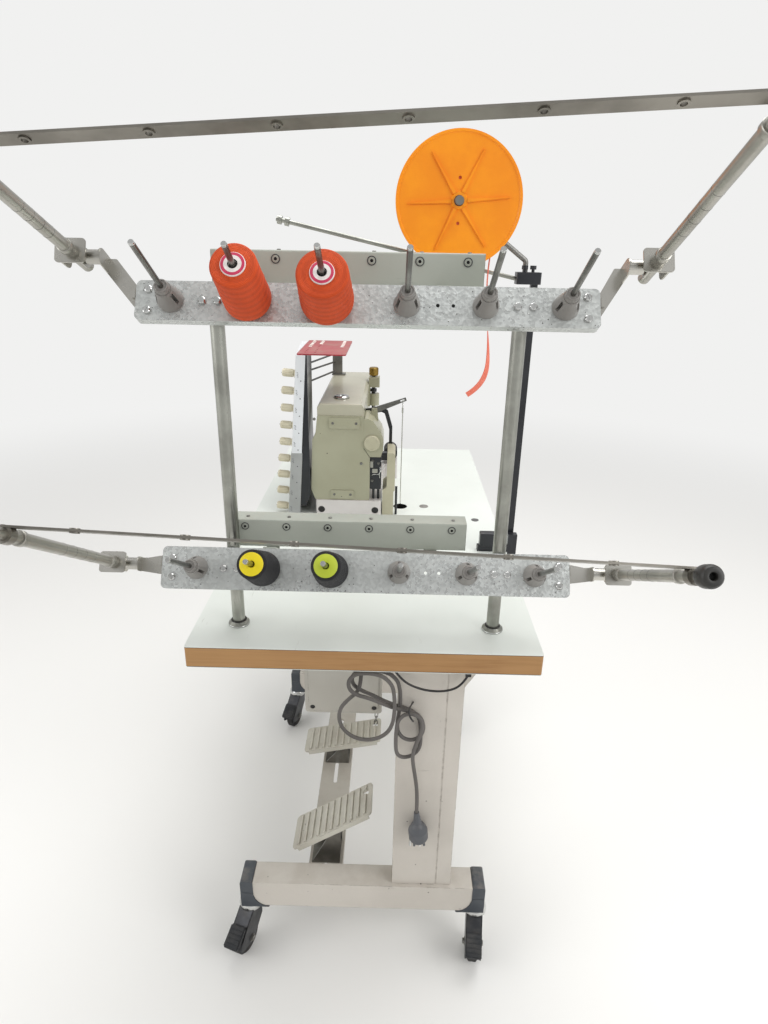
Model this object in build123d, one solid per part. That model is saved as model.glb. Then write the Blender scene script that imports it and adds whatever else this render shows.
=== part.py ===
from build123d import *
from math import atan2, cos, degrees, hypot, radians, sin
import os

# Multi-needle sewing machine on a rolling stand, in millimetres.
# While it is built, x = 0 is the table's centre line, y = 0 its right-hand end and z = 0 the floor.
# The operator sits on the -x side. The last step moves everything onto the origin:
# bottom centre of the whole machine, cords left out.

# Table
table_width = 600
table_length = 1200
table_thickness = 40
table_height = 765
top = table_height
under = top - table_thickness
running_gap = 0.3

# Stand: two legs, each a foot beam, a column and a top flange
foot_length = 500
beam_depth = 50
beam_height = 63
beam_wall = 3
foot_bottom = 121
beam_top = foot_bottom + beam_height
foot_setback = 30
feet_spacing = 710
column_x = 119
column_width = 118
column_depth = 40
column_setback = 8
flange_thickness = 5
flange_left = 25
flange_right = 206
cap_length = 26
cap_lip = 2
cross_beam_size = 40
cross_beam_z = 400
leg_y = {"right": foot_setback + beam_depth / 2, "left": foot_setback + beam_depth / 2 + feet_spacing}

# Casters
wheel_radius = 35
wheel_width = 24
caster_trail = 30
stem_radius = 6
stem_inset = 14
fork_wall = 3
fork_gap = 1.6
axle_radius = 4
caster_headings = {
    "right_front": 250,
    "right_rear": 264,
    "left_front": 254,
    "left_rear": 276,
}

# Pedals and the rail they stand on
rail_x = -82
rail_width = 72
rail_height = 26
rail_top = 158
pedal_length = 196
pedal_width = 86
pedal_thickness = 4
pedal_pin_radius = 4
pedal_seat = 12
pedals = {
    "right": {"x": -60, "y": 136, "z": 246, "slope": 33},
    "left": {"x": -65, "y": 432, "z": 206, "slope": 12},
}

# Control box under the table
box_left = -122
box_right = 31
box_front = 150
box_depth = 180
box_height = 195
box_drop = 12
gland_x = -5
gland_below_table = 22

# Cone stand
post_x = 224
post_y = 79
post_radius = 11
post_wall = 1.5
post_tail = 42
deck_tilt = 31
deck_length = 676
deck_width = 70
upper_trim = 16
upper_slack = 10
deck_sheet = 2
deck_y = 47
upper_deck = top + 548
lower_deck = top + 124
deck_heights = {"lower": lower_deck, "upper": upper_deck}
deck_lengths = {"lower": deck_length, "upper": deck_length - upper_trim}
deck_widths = {"lower": deck_width, "upper": deck_width - upper_slack}
seat_count = 6
seat_margin = 58
seat_pitch = (deck_length - 2 * seat_margin) / (seat_count - 1)
seat_radius = 19
seat_length = 41
pin_radius = 4
pin_length = 145
shank_radius = 3.5
pin_shoulder = seat_length + running_gap
pair_pitch = 22
spare_pair_x = 111
strap_bolt_inset = 18
strap_bolt_pitch = 32

# Guide rails behind the posts
guide_center_x = -31
guide_length = 400
guide_height = 49
guide_depth = 36
guide_y = 95
guide_lift = 20
guide_sheet = 3
guide_hole_pitch = 70

# Thread-guide frames
strap_sheet = 3
strap_width = 26
clip_sheet = 3
arm_radius = 8.5
frames = {
    "upper": {"up": 52, "out": 21, "arms": (408, 397), "rises": (23, 27.9), "reach": (287, 340),
    "ends": (34, 34)},
    "lower": {"up": 4, "out": 8, "arms": (408, 408), "rises": (32, 26.9), "reach": (353, 312),
    "ends": (34, 24)},
}
strip_width = 18
strip_sheet = 3
eyelet_pitch = 128
eyelet_center = -10

# Thread cones: deck, seat number from the -x end, base radius, end radius, length
cone_list = (
    ("upper", 1, 34, 31, 97),
    ("upper", 2, 38, 35, 81),
    ("lower", 1, 29, 23, 100),
    ("lower", 2, 29, 23, 100),
)

# Elastic reel stand, clamped on the rear edge of the table
column_size = 13
reel_column_x = table_width / 2 + 7.5
reel_column_y = 425
block_low = top + 562
block_high = top + 584
reel_x = 152
reel_z = top + 705
reel_front = 402
disc_radius = 116
disc_sheet = 3
tape_width = 12
tape_roll_radius = 67
shaft_radius = 5
guide_rod_end = (-189, 431, top + 670)

# Machine head
head_front = 600
head_end = 1040
bed_left = -146
bed_right = 16
bed_height = 40
bed_top = top + bed_height
column_end = 790
tray_right = -70
arm_left = -139
arm_right = -28
column_right = -13
arm_low = top + 150
arm_top = top + 252
lid_top = top + 280
needle_head_front = 905
needle_head_low = top + 110
panel_left = -184
panel_right = -162
panel_lean = 29
panel_taper = 4
panel_front = 592
panel_end = 832
panel_top = top + 392
panel_foot = 160
knob_rows = 9
knob_pitch = 41.4
knob_low = 16.5
knob_length = 32
knob_radius = 11
back_plate_right = -152.4
needle_x = -95
needle_y = 972
needle_count = 12
needle_pitch = 6.4
needle_stroke = 30
presser_x = -70
roller_radius = 20
puller_x = 36
motor_axis_x = -88
motor_axis_z = top + 196
lever_x = -4
lever_y = 667
lever_z = top + 252
lever_slope = 21
lever_reach = 73.6
wire_hole_radius = 18
pressure_x = arm_right + 13
pressure_y = 915
pressure_knob_z = top + 293


# Small helpers

def block(x0, x1, y0, y1, z0, z1):
    """A box given by its limits."""
    return Pos((x0 + x1) / 2, (y0 + y1) / 2, (z0 + z1) / 2) * Box(x1 - x0, y1 - y0, z1 - z0)


def rod(start, end, radius):
    """A round bar from one point to another."""
    line = Vector(*end) - Vector(*start)
    frame = Plane(origin=start, z_dir=line)
    return frame * Cylinder(radius, line.length, align=(Align.CENTER, Align.CENTER, Align.MIN))


def outline(points):
    """A flat face with its corners in counter-clockwise order, so that it always faces up."""
    area = sum(a[0] * b[1] - b[0] * a[1] for a, b in zip(points, points[1:] + points[:1]))
    return Polygon(*(points if area > 0 else points[::-1]), align=None)


def prism_x(points, x0, x1):
    """A (y, z) outline carried along x."""
    return extrude(Plane.YZ.offset(x0) * outline(points), x1 - x0)


def prism_y(points, y0, y1, corner=0):
    """An (x, z) outline carried along y, its corners rounded."""
    face = outline(points)
    if corner:
        face = fillet(face.vertices(), corner)
    return extrude(Plane.XZ.offset(-y1) * face, y1 - y0)


def prism_z(points, z0, z1, corner=0):
    """An (x, y) outline carried along z, its corners rounded."""
    face = outline(points)
    if corner:
        face = fillet(face.vertices(), corner)
    return extrude(Plane.XY.offset(z0) * face, z1 - z0)


def turned(points):
    """A (radius, height) outline turned round z."""
    return revolve(Plane.XZ * outline(points), Axis.Z)


def rising(x, y, z, rise):
    """A plane whose normal points to the right-hand end and up by the given angle."""
    angle = radians(rise)
    return Plane(origin=(x, y, z), x_dir=(1, 0, 0), z_dir=(0, -cos(angle), sin(angle)))


def deck_plane(height):
    """The front face of a cone deck."""
    return rising(0, deck_y, height, deck_tilt)


# Table and stand

def table_top():
    slab = block(-table_width / 2, table_width / 2, 0, table_length, under, top)
    slab = fillet(slab.edges().filter_by(Axis.Z), 4)
    for side in (-1, 1):
        slab -= rod((side * post_x, post_y, under - 1), (side * post_x, post_y, top + 1),
            post_radius + running_gap)
    wire_x = lever_x + lever_reach * cos(radians(lever_slope))
    slab -= rod((wire_x, lever_y, under - 1), (wire_x, lever_y, top + 1), wire_hole_radius)
    return slab


def leg(side):
    """Foot beam, column, top flange and gusset welded into one frame."""
    y = leg_y[side]
    outward = -1 if side == "right" else 1
    half = foot_length / 2 - cap_length
    beam = block(-half, half, y - beam_depth / 2, y + beam_depth / 2, foot_bottom, beam_top)
    beam -= block(
        -half - 1, half + 1, y - beam_depth / 2 + beam_wall, y + beam_depth / 2 - beam_wall,
        foot_bottom + beam_wall, beam_top - beam_wall)
    face = y + outward * (beam_depth / 2 - column_setback)
    back = face - outward * column_depth
    left = column_x - column_width / 2
    right = column_x + column_width / 2
    column = block(left, right, min(face, back), max(face, back), beam_top, under - flange_thickness)
    column -= block(
        left + beam_wall, right - beam_wall, min(face, back) + beam_wall, max(face, back) - beam_wall,
        beam_top - 1, under)
    seam = left + column_width * 0.75
    column -= block(seam - 1, seam + 1, face - 0.8, face + 0.8, beam_top + 1, under - flange_thickness - 1)
    flange = block(
        flange_left, flange_right, y - beam_depth / 2, y + beam_depth / 2, under - flange_thickness, under)
    gusset = prism_y(
        ((right - 1, under - flange_thickness), (right + 34, under - flange_thickness),
        (right - 1, under - 62)),
        face - outward * 8 - 3, face - outward * 8 + 3)
    return beam + column + flange + gusset


def foot_caps():
    """Plastic ends of the foot beams, which hold the caster stems."""
    caps = []
    for y in leg_y.values():
        for end in (-1, 1):
            inner = end * (foot_length / 2 - cap_length)
            outer = end * foot_length / 2
            plug_end = inner - end * 20
            shell = block(
                min(inner, outer), max(inner, outer), y - beam_depth / 2 - cap_lip / 2,
                y + beam_depth / 2 + cap_lip / 2, foot_bottom - cap_lip, beam_top + cap_lip)
            shell = fillet(shell.edges().filter_by(Axis.Y).group_by(Axis.Z)[-1], 5)
            plug = block(
                min(inner, plug_end), max(inner, plug_end), y - beam_depth / 2 + beam_wall + running_gap,
                y + beam_depth / 2 - beam_wall - running_gap, foot_bottom + beam_wall + running_gap,
                beam_top - beam_wall - running_gap)
            stem_x = end * (foot_length / 2 - stem_inset)
            hole = rod((stem_x, y, foot_bottom - 5), (stem_x, y, foot_bottom + 32),
                stem_radius + running_gap)
            caps.append(shell + plug - hole)
    return Compound(children=caps)


def cross_beam():
    """Square tube between the two columns."""
    y0 = leg_y["right"] - beam_depth / 2 + column_setback + column_depth
    y1 = leg_y["left"] + beam_depth / 2 - column_setback - column_depth
    half = cross_beam_size / 2
    tube = block(column_x - half, column_x + half, y0, y1, cross_beam_z - half, cross_beam_z + half)
    tube -= block(
        column_x - half + 2, column_x + half - 2, y0 - 1, y1 + 1, cross_beam_z - half + 2,
        cross_beam_z + half - 2)
    for y, inward in ((y0, 1), (y1, -1)):
        plate = block(column_x - 34, column_x + 34, min(y, y + inward * 4), max(y, y + inward * 4),
                      cross_beam_z - 34, cross_beam_z + 34)
        tube += plate
    return tube


def caster_fork(x, y, heading):
    """Hooded fork with its stem, collar, axle and brake tab."""
    half = wheel_width / 2 + fork_gap + fork_wall
    head = foot_bottom - cap_lip - running_gap
    reach = caster_trail
    side = (
        (-18, head - 18), (18, head - 18), (reach + 18, head - 42), (reach + 38, 56), (reach + 42, 40),
        (reach + 9, 25), (reach - 9, 25), (reach - 44, 60))
    fork = prism_y(side, -half, half, 4)
    cavity = Pos(caster_trail, 0, wheel_radius) * Rot(90, 0, 0) * Cylinder(
        wheel_radius + fork_gap, wheel_width + 2 * fork_gap)
    fork -= cavity
    axle = Pos(caster_trail, 0, wheel_radius) * Rot(90, 0, 0) * Cylinder(axle_radius, 2 * half)
    collar = rod((0, 0, head - 18), (0, 0, head - 7), 19) + rod((0, 0, head - 7), (0, 0, head), 14)
    stem = rod((0, 0, head - 1), (0, 0, foot_bottom + 30), stem_radius)
    pad = prism_y(((reach + 14, 78), (reach + 20, 88), (reach + 62, 62), (reach + 58, 55),
        (reach + 36, 52)), -21, 21)
    wheel_space = Pos(caster_trail, 0, wheel_radius) * Rot(90, 0, 0) * Cylinder(wheel_radius + fork_gap, 100)
    return Pos(x, y, 0) * Rot(0, 0, heading) * (fork + axle + collar + stem + (pad - wheel_space))


def caster_wheel(x, y, heading):
    bore = axle_radius + running_gap
    half = wheel_width / 2
    wheel = turned((
        (bore, -half), (wheel_radius - 14, -half), (wheel_radius - 12, 3 - half),
        (wheel_radius - 7, 3 - half),
        (wheel_radius - 5, -half), (wheel_radius, 5 - half), (wheel_radius, half - 5),
        (wheel_radius - 5, half),
        (wheel_radius - 7, half - 3), (wheel_radius - 12, half - 3), (wheel_radius - 14, half),
        (bore, half)))
    return Pos(x, y, 0) * Rot(0, 0, heading) * Pos(caster_trail, 0, wheel_radius) * Rot(90, 0, 0) * wheel


def caster_places():
    """Name, x and y of each caster stem."""
    places = []
    for side, y in leg_y.items():
        for end, sign in (("front", -1), ("rear", 1)):
            places.append((side + "_" + end, sign * (foot_length / 2 - stem_inset), y))
    return places


# Pedals

def pedal_rail():
    """Folded channel between the feet, with slots for the pedal brackets."""
    y0 = leg_y["right"] + beam_depth / 2
    y1 = leg_y["left"] - beam_depth / 2
    left = rail_x - rail_width / 2
    right = rail_x + rail_width / 2
    rail = block(left, right, y0, y1, rail_top - rail_height, rail_top)
    rail -= block(left + 3, right - 3, y0 - 1, y1 + 1, rail_top - rail_height - 1, rail_top - 3)
    for y, inward in ((y0, 1), (y1, -1)):
        rail += block(left, right, min(y, y + inward * 4), max(y, y + inward * 4),
                      rail_top - rail_height, rail_top)
    for pedal in pedals.values():
        for shift in (-105, 60):
            slot = SlotOverall(70, 9)
            rail -= extrude(Plane.XY.offset(rail_top - 5) * Pos(rail_x,
                pedal["y"] + shift + 40) * Rot(0, 0, 90)
                            * slot, 8)
    return rail


def pedal_brackets():
    """Two U-shaped brackets, each with the pin its pedal turns on."""
    made = []
    for pedal in pedals.values():
        x, y, z = pedal["x"], pedal["y"], pedal["z"]
        half = pedal_seat + 20
        bracket = block(rail_x - 30, rail_x + 30, y - half, y + half, rail_top, rail_top + 3)
        for ear in (-half, half - 3):
            bracket += prism_y(
                ((rail_x - 30, rail_top), (rail_x + 30, rail_top), (x + 11, z - 4), (x + 7, z + 8),
                 (x - 7, z + 8), (x - 11, z - 4)), y + ear, y + ear + 3)
        bracket += rod((x, y - half - 4, z), (x, y + half + 4, z), pedal_pin_radius)
        made.append(bracket)
    return Compound(children=made)


def pedal(side):
    """Ribbed foot plate with two lugs that turn on the bracket's pin."""
    sizes = pedals[side]
    slope = radians(sizes["slope"])
    frame = Plane(
        origin=(sizes["x"], sizes["y"], sizes["z"]), x_dir=(cos(slope), 0, sin(slope)),
        z_dir=(-sin(slope), 0, cos(slope)))
    half = pedal_length / 2
    width = pedal_width / 2
    low = pedal_seat
    high = pedal_seat + pedal_thickness
    plate = fillet(block(-half, half, -width, width, low, high).edges().filter_by(Axis.Z), 8)
    for number in range(11):
        x = (number - 5) * 16.5
        plate += block(x - 3, x + 3, 5 - width, width - 5, high, high + 3)
    for edge in (-1, 1):
        plate += block(-half + 10, half - 10, min(edge * width, edge * (width - 3)),
                       max(edge * width, edge * (width - 3)), low - 7, low)
    for edge in (-1, 1):
        y = edge * 20
        lug = prism_y(((-16, low), (-7, -7), (7, -7), (16, low)), y - 3, y + 3)
        plate += lug
    plate -= rod((0, -width, 0), (0, width, 0), pedal_pin_radius + running_gap)
    plate -= block(half - 22, half - 8, 14, 26, low - 1, high + 4)
    return frame * plate


def lift_chain():
    """Wire and chain from the lifter lever, through the table, to the left pedal."""
    reach = radians(lever_slope)
    x = lever_x + lever_reach * cos(reach)
    z = lever_z + lever_reach * sin(reach)
    y = lever_y + 7
    sizes = pedals["left"]
    slope = radians(sizes["slope"])
    along = pedal_length / 2 - 15
    foot = (
        sizes["x"] + along * cos(slope) - (pedal_seat - 4) * sin(slope), sizes["y"] + 20,
        sizes["z"] + along * sin(slope) + (pedal_seat - 4) * cos(slope) - 3)
    low = (x, y, under - 20)
    neck = (foot[0], foot[1], foot[2] + 30)
    wire = rod((x, y + 1, z), (x, y - 11, z), 1.6)
    wire += rod((x, y, z - 1), low, 1.6)
    wire += rod(low, neck, 1.6)
    wire += rod(neck, foot, 1.6)
    for joint in (low, neck):
        wire += Pos(*joint) * Sphere(1.6)
    wire += Pos(*foot) * Sphere(2.6)
    wire += Pos(foot[0], foot[1], foot[2]) * Cylinder(9, 2)
    return wire


# Under the table

def control_box():
    """Closed housing with a raised front cover, two hanger feet and a cord gland."""
    back = box_front + box_depth
    high = under - box_drop
    low = high - box_height
    box = fillet(block(box_left, box_right, box_front, back, low, high).edges().filter_by(Axis.Y), 7)
    cover = block(box_left + 7, box_right - 7, box_front - 3, box_front, low + 6, high - 6)
    box += fillet(cover.edges().filter_by(Axis.Y), 6)
    for x in (box_left + 15, box_right - 15):
        for z in (low + 15, high - 15):
            box -= rod((x, box_front - 4, z), (x, box_front + 9, z), 5)
    for y in (box_front + 30, back - 30):
        box += block(box_left + 12, box_right - 12, y - 12, y + 12, high, under)
    for number in range(7):
        y = box_front + 42 + number * 15
        box -= block(box_left - 1, box_left + 5, y, y + 6, low + 40, high - 40)
    z = under - gland_below_table
    base = Plane(origin=(gland_x, box_front, z), z_dir=(0, -1, 0))
    gland = base * turned(((0, -1), (10, -1), (10, 6), (7.5, 7), (5, 30), (0, 30)))
    return box + gland


cord_radius = 3.5
cord_lead_points = (
    (gland_x, box_front - 30, under - gland_below_table),
    (gland_x, 97, under - gland_below_table),
    (gland_x - 3, 71, under - 19),
    (gland_x - 5, 47, under - 22),
    (gland_x - 6, 29, under - 36),
    (gland_x - 5, 22, under - 55),
)
cord_drop_points = (
    (80, 20, under - 178),
    (86, 20, under - 208),
    (92, 19, under - 244),
    (98, 18.5, under - 286),
    (102, 18.5, under - 328),
)
hank_points = (
    (-47, -112), (-36, -72), (-14, -54), (30, -46), (72, -48), (98, -76), (102, -128), (88, -180),
    (58, -190),
    (24, -172), (-20, -166), (-44, -142))
plug_radius = 18.5


def bend_radii(points, share=0.45):
    """The largest radius that fits each corner of a cord's route."""
    radii = []
    for before, corner, after in zip(points, points[1:], points[2:]):
        first = Vector(*corner) - Vector(*before)
        second = Vector(*after) - Vector(*corner)
        turn = radians(first.get_angle(second))
        radii.append(share * min(first.length, second.length) / (sin(turn / 2) / cos(turn / 2)))
    return radii


def cord_tube(points, radius):
    """A round tube of straight runs joined by arcs."""
    radii = bend_radii(points)
    route = FilletPolyline(*points, radius=radii)
    start = Plane(origin=points[0], z_dir=Vector(*points[1]) - Vector(*points[0]))
    tube = sweep(start * Circle(radius), path=route)
    print("cord radii", [round(r, 1) for r in radii], "length", round(route.length, 1),
          "volume share", round(tube.volume / (3.14159265 * radius ** 2 * route.length), 4))
    return tube


def mains_cord():
    return Compound(children=[cord_tube(cord_lead_points, cord_radius),
        cord_tube(cord_drop_points, cord_radius)])


def cord_hank():
    """Outer shape of the loose loops that hang under the table."""
    points = [(x, under + z) for x, z in hank_points]
    return prism_y(points, 12, 33, 6)


def mains_plug():
    """Round two-pin plug with its strain relief, hanging pins down."""
    end = Vector(*cord_drop_points[-1])
    before = Vector(*cord_drop_points[-2])
    frame = Plane(origin=end, z_dir=end - before)
    body = turned((
        (0, 0), (5, 0), (8, 26), (13, 32), (plug_radius, 44), (plug_radius, 62), (plug_radius - 2, 66),
        (0, 66)))
    for side in (-9.5, 9.5):
        body += Pos(side, 0, 65) * Cylinder(2.4, 20, align=(Align.CENTER, Align.CENTER, Align.MIN))
    return frame * body


black_cable_points = (
    (52, 24, under - 12),
    (66, 24, under - 33),
    (88, 24, under - 47),
    (116, 24, under - 55),
    (146, 24, under - 54),
    (170, 24, under - 42),
    (180, 24, under - 20),
)


def black_cable():
    """Thin lead that sags between two clips under the table's right-hand end."""
    return cord_tube(black_cable_points, 2)


def cable_clips():
    """Small clips screwed under the table: one for the mains cord, two for the black lead."""
    lead = cord_lead_points[3]
    high = under
    clips = [
        block(lead[0] - 10, lead[0] + 10, lead[1] - 3, lead[1] + 3, lead[2] - 10, high)
        - block(lead[0] - 5.5, lead[0] + 5.5, lead[1] - 4, lead[1] + 4, lead[2] - 8, high - 3)]
    for end in (black_cable_points[0], black_cable_points[-1]):
        clips.append(block(end[0] - 5, end[0] + 5, end[1] - 5, end[1] + 5, end[2], high))
    return Compound(children=clips)


# Cone stand

def cone_posts():
    """Two tubes through the table, each with a flange, a nut and a collar behind each deck."""
    made = []
    for side in (-1, 1):
        x = side * post_x
        low = under - post_tail
        high = upper_deck + 18
        made.append(rod((x, post_y, low), (x, post_y, high), post_radius)
                    - rod((x, post_y, low - 1), (x, post_y, high + 1), post_radius - post_wall))
        bore = rod((x, post_y, low), (x, post_y, high), post_radius + running_gap)
        flange = Pos(x, post_y, top) * turned(((0, 0), (18, 0), (18, 4), (14, 8), (0, 8)))
        made.append(flange - bore)
        nut = extrude(Plane(origin=(x, post_y, under - 12)) * RegularPolygon(15.5, 6), 12)
        made.append(nut - bore)
        for height in deck_heights.values():
            ring = rod((x, post_y, height - 24), (x, post_y, height + 4), post_radius + 5)
            web = block(x - 17, x + 17, deck_y - 22, post_y - 4, height - 22, height + 2)
            front = deck_plane(height) * block(-deck_length, deck_length, -200, 200, -deck_sheet, 200)
            made.append(ring + (web - front) - bore)
    return Compound(children=made)


def seat_places():
    """Seat centres along a deck."""
    return [(number - (seat_count - 1) / 2) * seat_pitch for number in range(seat_count)]


def cone_deck(name):
    """Folded sheet with a deep upper flange that is notched round the posts."""
    height = deck_heights[name]
    length = deck_lengths[name]
    half = deck_widths[name] / 2
    sheet = deck_sheet
    profile = (
        (-half, 0), (half, 0), (half, -22), (half - sheet, -22), (half - sheet, -sheet),
        (sheet - half, -sheet),
        (sheet - half, -14), (-half, -14))
    deck = prism_x(profile, -length / 2, length / 2)
    deck &= fillet(Box(length, 2 * half, 80).edges().filter_by(Axis.Z), 8)
    for x in seat_places():
        deck -= Pos(x, 0, 0) * Cylinder(shank_radius + running_gap, 10)
    for x in (-post_x, spare_pair_x, post_x):
        for side in (-1, 1):
            deck -= Pos(x + side * pair_pitch / 2, 0, 0) * Cylinder(2.7, 10)
    for side in (-1, 1):
        for up in (-1, 1):
            deck -= Pos(side * (length / 2 - strap_bolt_inset), up * strap_bolt_pitch / 2,
                0) * Cylinder(2.7, 10)
    deck = deck_plane(height) * deck
    for side in (-1, 1):
        x = side * post_x
        deck -= rod((x, post_y, height - 60), (x, post_y, height + 80), post_radius + 1.5)
    return deck


def cone_decks():
    return Compound(children=[cone_deck(name) for name in deck_heights])


def cone_seats():
    """Slotted plastic seats, one over each pin."""
    bore = shank_radius + running_gap
    seat = turned((
        (bore, 0), (seat_radius, 0), (seat_radius, 3), (11.5, 33), (10.3, 33), (10.3, seat_length),
        (bore, seat_length)))
    for turn in (90, 210, 330):
        seat -= Rot(0, 0, turn) * block(9, 20, -2.5, 2.5, 9, 28)
    made = []
    for height in deck_heights.values():
        for x in seat_places():
            made.append(deck_plane(height) * Pos(x, 0, 0) * seat)
    return Compound(children=made)


def cone_pins():
    """Steel pins through the decks, each with a nut behind."""
    made = []
    bar = turned((
        (0, -9), (shank_radius, -9), (shank_radius, pin_shoulder), (pin_radius, pin_shoulder),
        (pin_radius, pin_length - 1), (pin_radius - 1, pin_length), (0, pin_length)))
    for height in deck_heights.values():
        for x in seat_places():
            pin = Pos(x, 0, 0) * bar
            nut = extrude(Plane(origin=(x, 0, -deck_sheet - 5)) * RegularPolygon(7.5, 6), 5)
            made.append(deck_plane(height) * (pin + nut))
    return Compound(children=made)


def thread_cones():
    """Wound thread on four hubs: two full cones above, two small ones below."""
    foot = 4 + running_gap
    made = []
    for deck, seat, base, end, length in cone_list:
        place = deck_plane(deck_heights[deck]) * Pos(seat_places()[seat], 0, foot)
        hub = turned((
            (19, 0), (21.5, 0), (16.5, length), (6.5, length), (6.5, length - 3), (14, length - 3)))
        thread = turned((
            (21.7, 2), (base - 2, 2), (base, 5), (end, length - 4), (end - 2, length - 2),
            (16.8, length - 2)))
        made.append(place * hub)
        made.append(place * thread)
    return Compound(children=made)


def guide_rails():
    """Two angle rails behind the posts, each on two arms from its deck."""
    made = []
    left = guide_center_x - guide_length / 2
    for name, height in deck_heights.items():
        narrower = deck_width - deck_widths[name]
        edge = deck_widths[name] / 2
        low = height + guide_lift
        high = low + guide_height
        back = guide_y + guide_depth
        sheet = guide_sheet
        rail = prism_x(
            ((guide_y, low), (guide_y + sheet, low), (guide_y + sheet, high - sheet), (back, high - sheet),
             (back, high), (guide_y, high)), left, left + guide_length)
        for number in range(6):
            x = guide_center_x + (number - 2.5) * guide_hole_pitch
            rail -= rod((x, guide_y - 1, low + 37), (x, guide_y + sheet + 1, low + 37), 3)
            rail -= rod((x + 3, guide_y + 14, high - sheet - 1), (x + 3, guide_y + 14, high + 1), 2)
        for x in (left + 70, left + guide_length - 60):
            lug = deck_plane(height) * block(x - 11, x + 11, edge, edge + 3, -32 - narrower / 2, -3)
            web = block(x - 11, x + 11, guide_y - 3, guide_y, low - 8 - narrower * 0.7, low + 24)
            rail += lug + web
        made.append(rail)
    return Compound(children=made)


def strap_brackets():
    """Straps bolted behind the deck ends, each with the sleeve its clip turns on."""
    made = []
    back = -deck_sheet - strap_sheet
    for name, frame in frames.items():
        up, out = frame["up"], frame["out"]
        end = deck_lengths[name] / 2
        for side in (-1, 1):
            arm_x = frame["arms"][0 if side < 0 else 1]
            tab = arm_x - 33
            shape = outline((
                (end - 36, -20), (end + 4, -20), (tab, up - 15), (tab, up + 15), (tab - 26, up + 15),
                (end + 2, 22),
                (end - 36, 20)))
            strap = extrude(Plane.XY.offset(back) * shape, strap_sheet)
            strap += block(tab - strap_sheet, tab, up - 15, up + 15, back, out)
            strap += Plane(origin=(tab - strap_sheet, up, out), z_dir=(1, 0, 0)) * Cylinder(
                15, strap_sheet, align=(Align.CENTER, Align.CENTER, Align.MIN))
            strap += Plane(origin=(tab - 1, up, out), z_dir=(1, 0, 0)) * Cylinder(
                10, arm_x - 12 - running_gap - tab + 1, align=(Align.CENTER, Align.CENTER, Align.MIN))
            if side < 0:
                strap = mirror(strap, about=Plane.YZ)
            for height in (-1, 1):
                strap -= Pos(side * (end - strap_bolt_inset), height * strap_bolt_pitch / 2,
                    0) * Cylinder(2.7, 20)
            made.append(deck_plane(deck_heights[name]) * strap)
    return Compound(children=made)


def frame_pivot(name):
    """Point on the axis that a guide frame tilts about."""
    angle = radians(deck_tilt)
    height = deck_heights[name]
    up, out = frames[name]["up"], frames[name]["out"]
    return (0, deck_y + up * sin(angle) - out * cos(angle), height + up * cos(angle) + out * sin(angle))


def arm_plane(name, side):
    """Plane at a clip, its normal along the arm."""
    pivot = frame_pivot(name)
    number = 0 if side < 0 else 1
    return rising(side * frames[name]["arms"][number], pivot[1], pivot[2], frames[name]["rises"][number])


def frame_arms(name):
    """U-clips, telescopic arms and end caps of one guide frame."""
    made = []
    for side in (-1, 1):
        place = arm_plane(name, side)
        reach = frames[name]["reach"][0 if side < 0 else 1]
        beyond = frames[name]["ends"][0 if side < 0 else 1]
        inner = -side * 12
        gap = arm_radius + 0.5
        base = block(min(inner, inner + side * clip_sheet), max(inner, inner + side * clip_sheet),
                     -gap - clip_sheet, gap + clip_sheet, -22, 20)
        clip = base
        for up in (-1, 1):
            clip += block(min(inner, side * 14), max(inner, side * 14),
                min(up * gap, up * (gap + clip_sheet)),
                          max(up * gap, up * (gap + clip_sheet)), -22, 20)
        screw = rod((0, gap, 0), (0, gap + clip_sheet + 6, 0), 4.5) + rod((0, arm_radius, 0),
            (0, gap + 1, 0), 3)
        made.append(place * (clip + screw))
        length = reach + beyond - 26
        tube = turned((
            (arm_radius - 1.5, -34), (arm_radius, -34), (arm_radius, length - 60),
            (arm_radius - 1, length - 58),
            (arm_radius - 1, length), (arm_radius - 2.5, length), (arm_radius - 2.5, length - 60),
            (arm_radius - 1.5, length - 60)))
        made.append(place * tube)
        cap = turned((
            (5, length - 14), (arm_radius - 2.7, length - 14), (arm_radius - 2.7, length + 0.3),
            (arm_radius + 3, length + 0.3), (arm_radius + 6, length + 4), (arm_radius + 6, length + 20),
            (arm_radius + 3, length + 24), (5, length + 24)))
        made.append(place * cap)
    return Compound(children=made)


def frame_strip(name):
    """Flat cross strip with eyelets on top of both arms, clamped by a ring at each end."""
    frame = frames[name]
    ends = []
    for side in (-1, 1):
        reach = frame["reach"][0 if side < 0 else 1]
        ends.append(arm_plane(name, side).from_local_coords(Vector(0, 0, reach - 26)))
    across = ends[1] - ends[0]
    middle = (ends[0] + ends[1]) / 2
    rise = radians(sum(frame["rises"]) / 2)
    along = Vector(0, -cos(rise), sin(rise))
    normal = along.cross(across)
    if normal.Z < 0:
        normal = normal * -1
    place = Plane(origin=middle, x_dir=across, z_dir=normal) * Pos(0, 0, arm_radius + strip_sheet / 2 - 0.4)
    strip = Box(across.length + 2 * arm_radius + 4, strip_width, strip_sheet)
    strip = fillet(strip.edges().filter_by(Axis.Z), 4)
    for number in range(6):
        x = eyelet_center + (number - 2.5) * eyelet_pitch
        strip += Pos(x, 0, 0) * Cylinder(6, strip_sheet + 3)
    for number in range(6):
        x = eyelet_center + (number - 2.5) * eyelet_pitch
        strip -= Pos(x, 0, 0) * Cylinder(3.5, 20)
    strip = place * strip
    for side in (-1, 1):
        reach = frame["reach"][0 if side < 0 else 1]
        middle = arm_plane(name, side) * Pos(0, 0, reach - 26)
        ring = middle * (Cylinder(arm_radius + 3, strip_width - 4) - Cylinder(arm_radius - 0.9, strip_width))
        strip = strip - middle * Cylinder(arm_radius - 0.9, 80) + ring
    return strip


# Elastic reel stand

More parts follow.
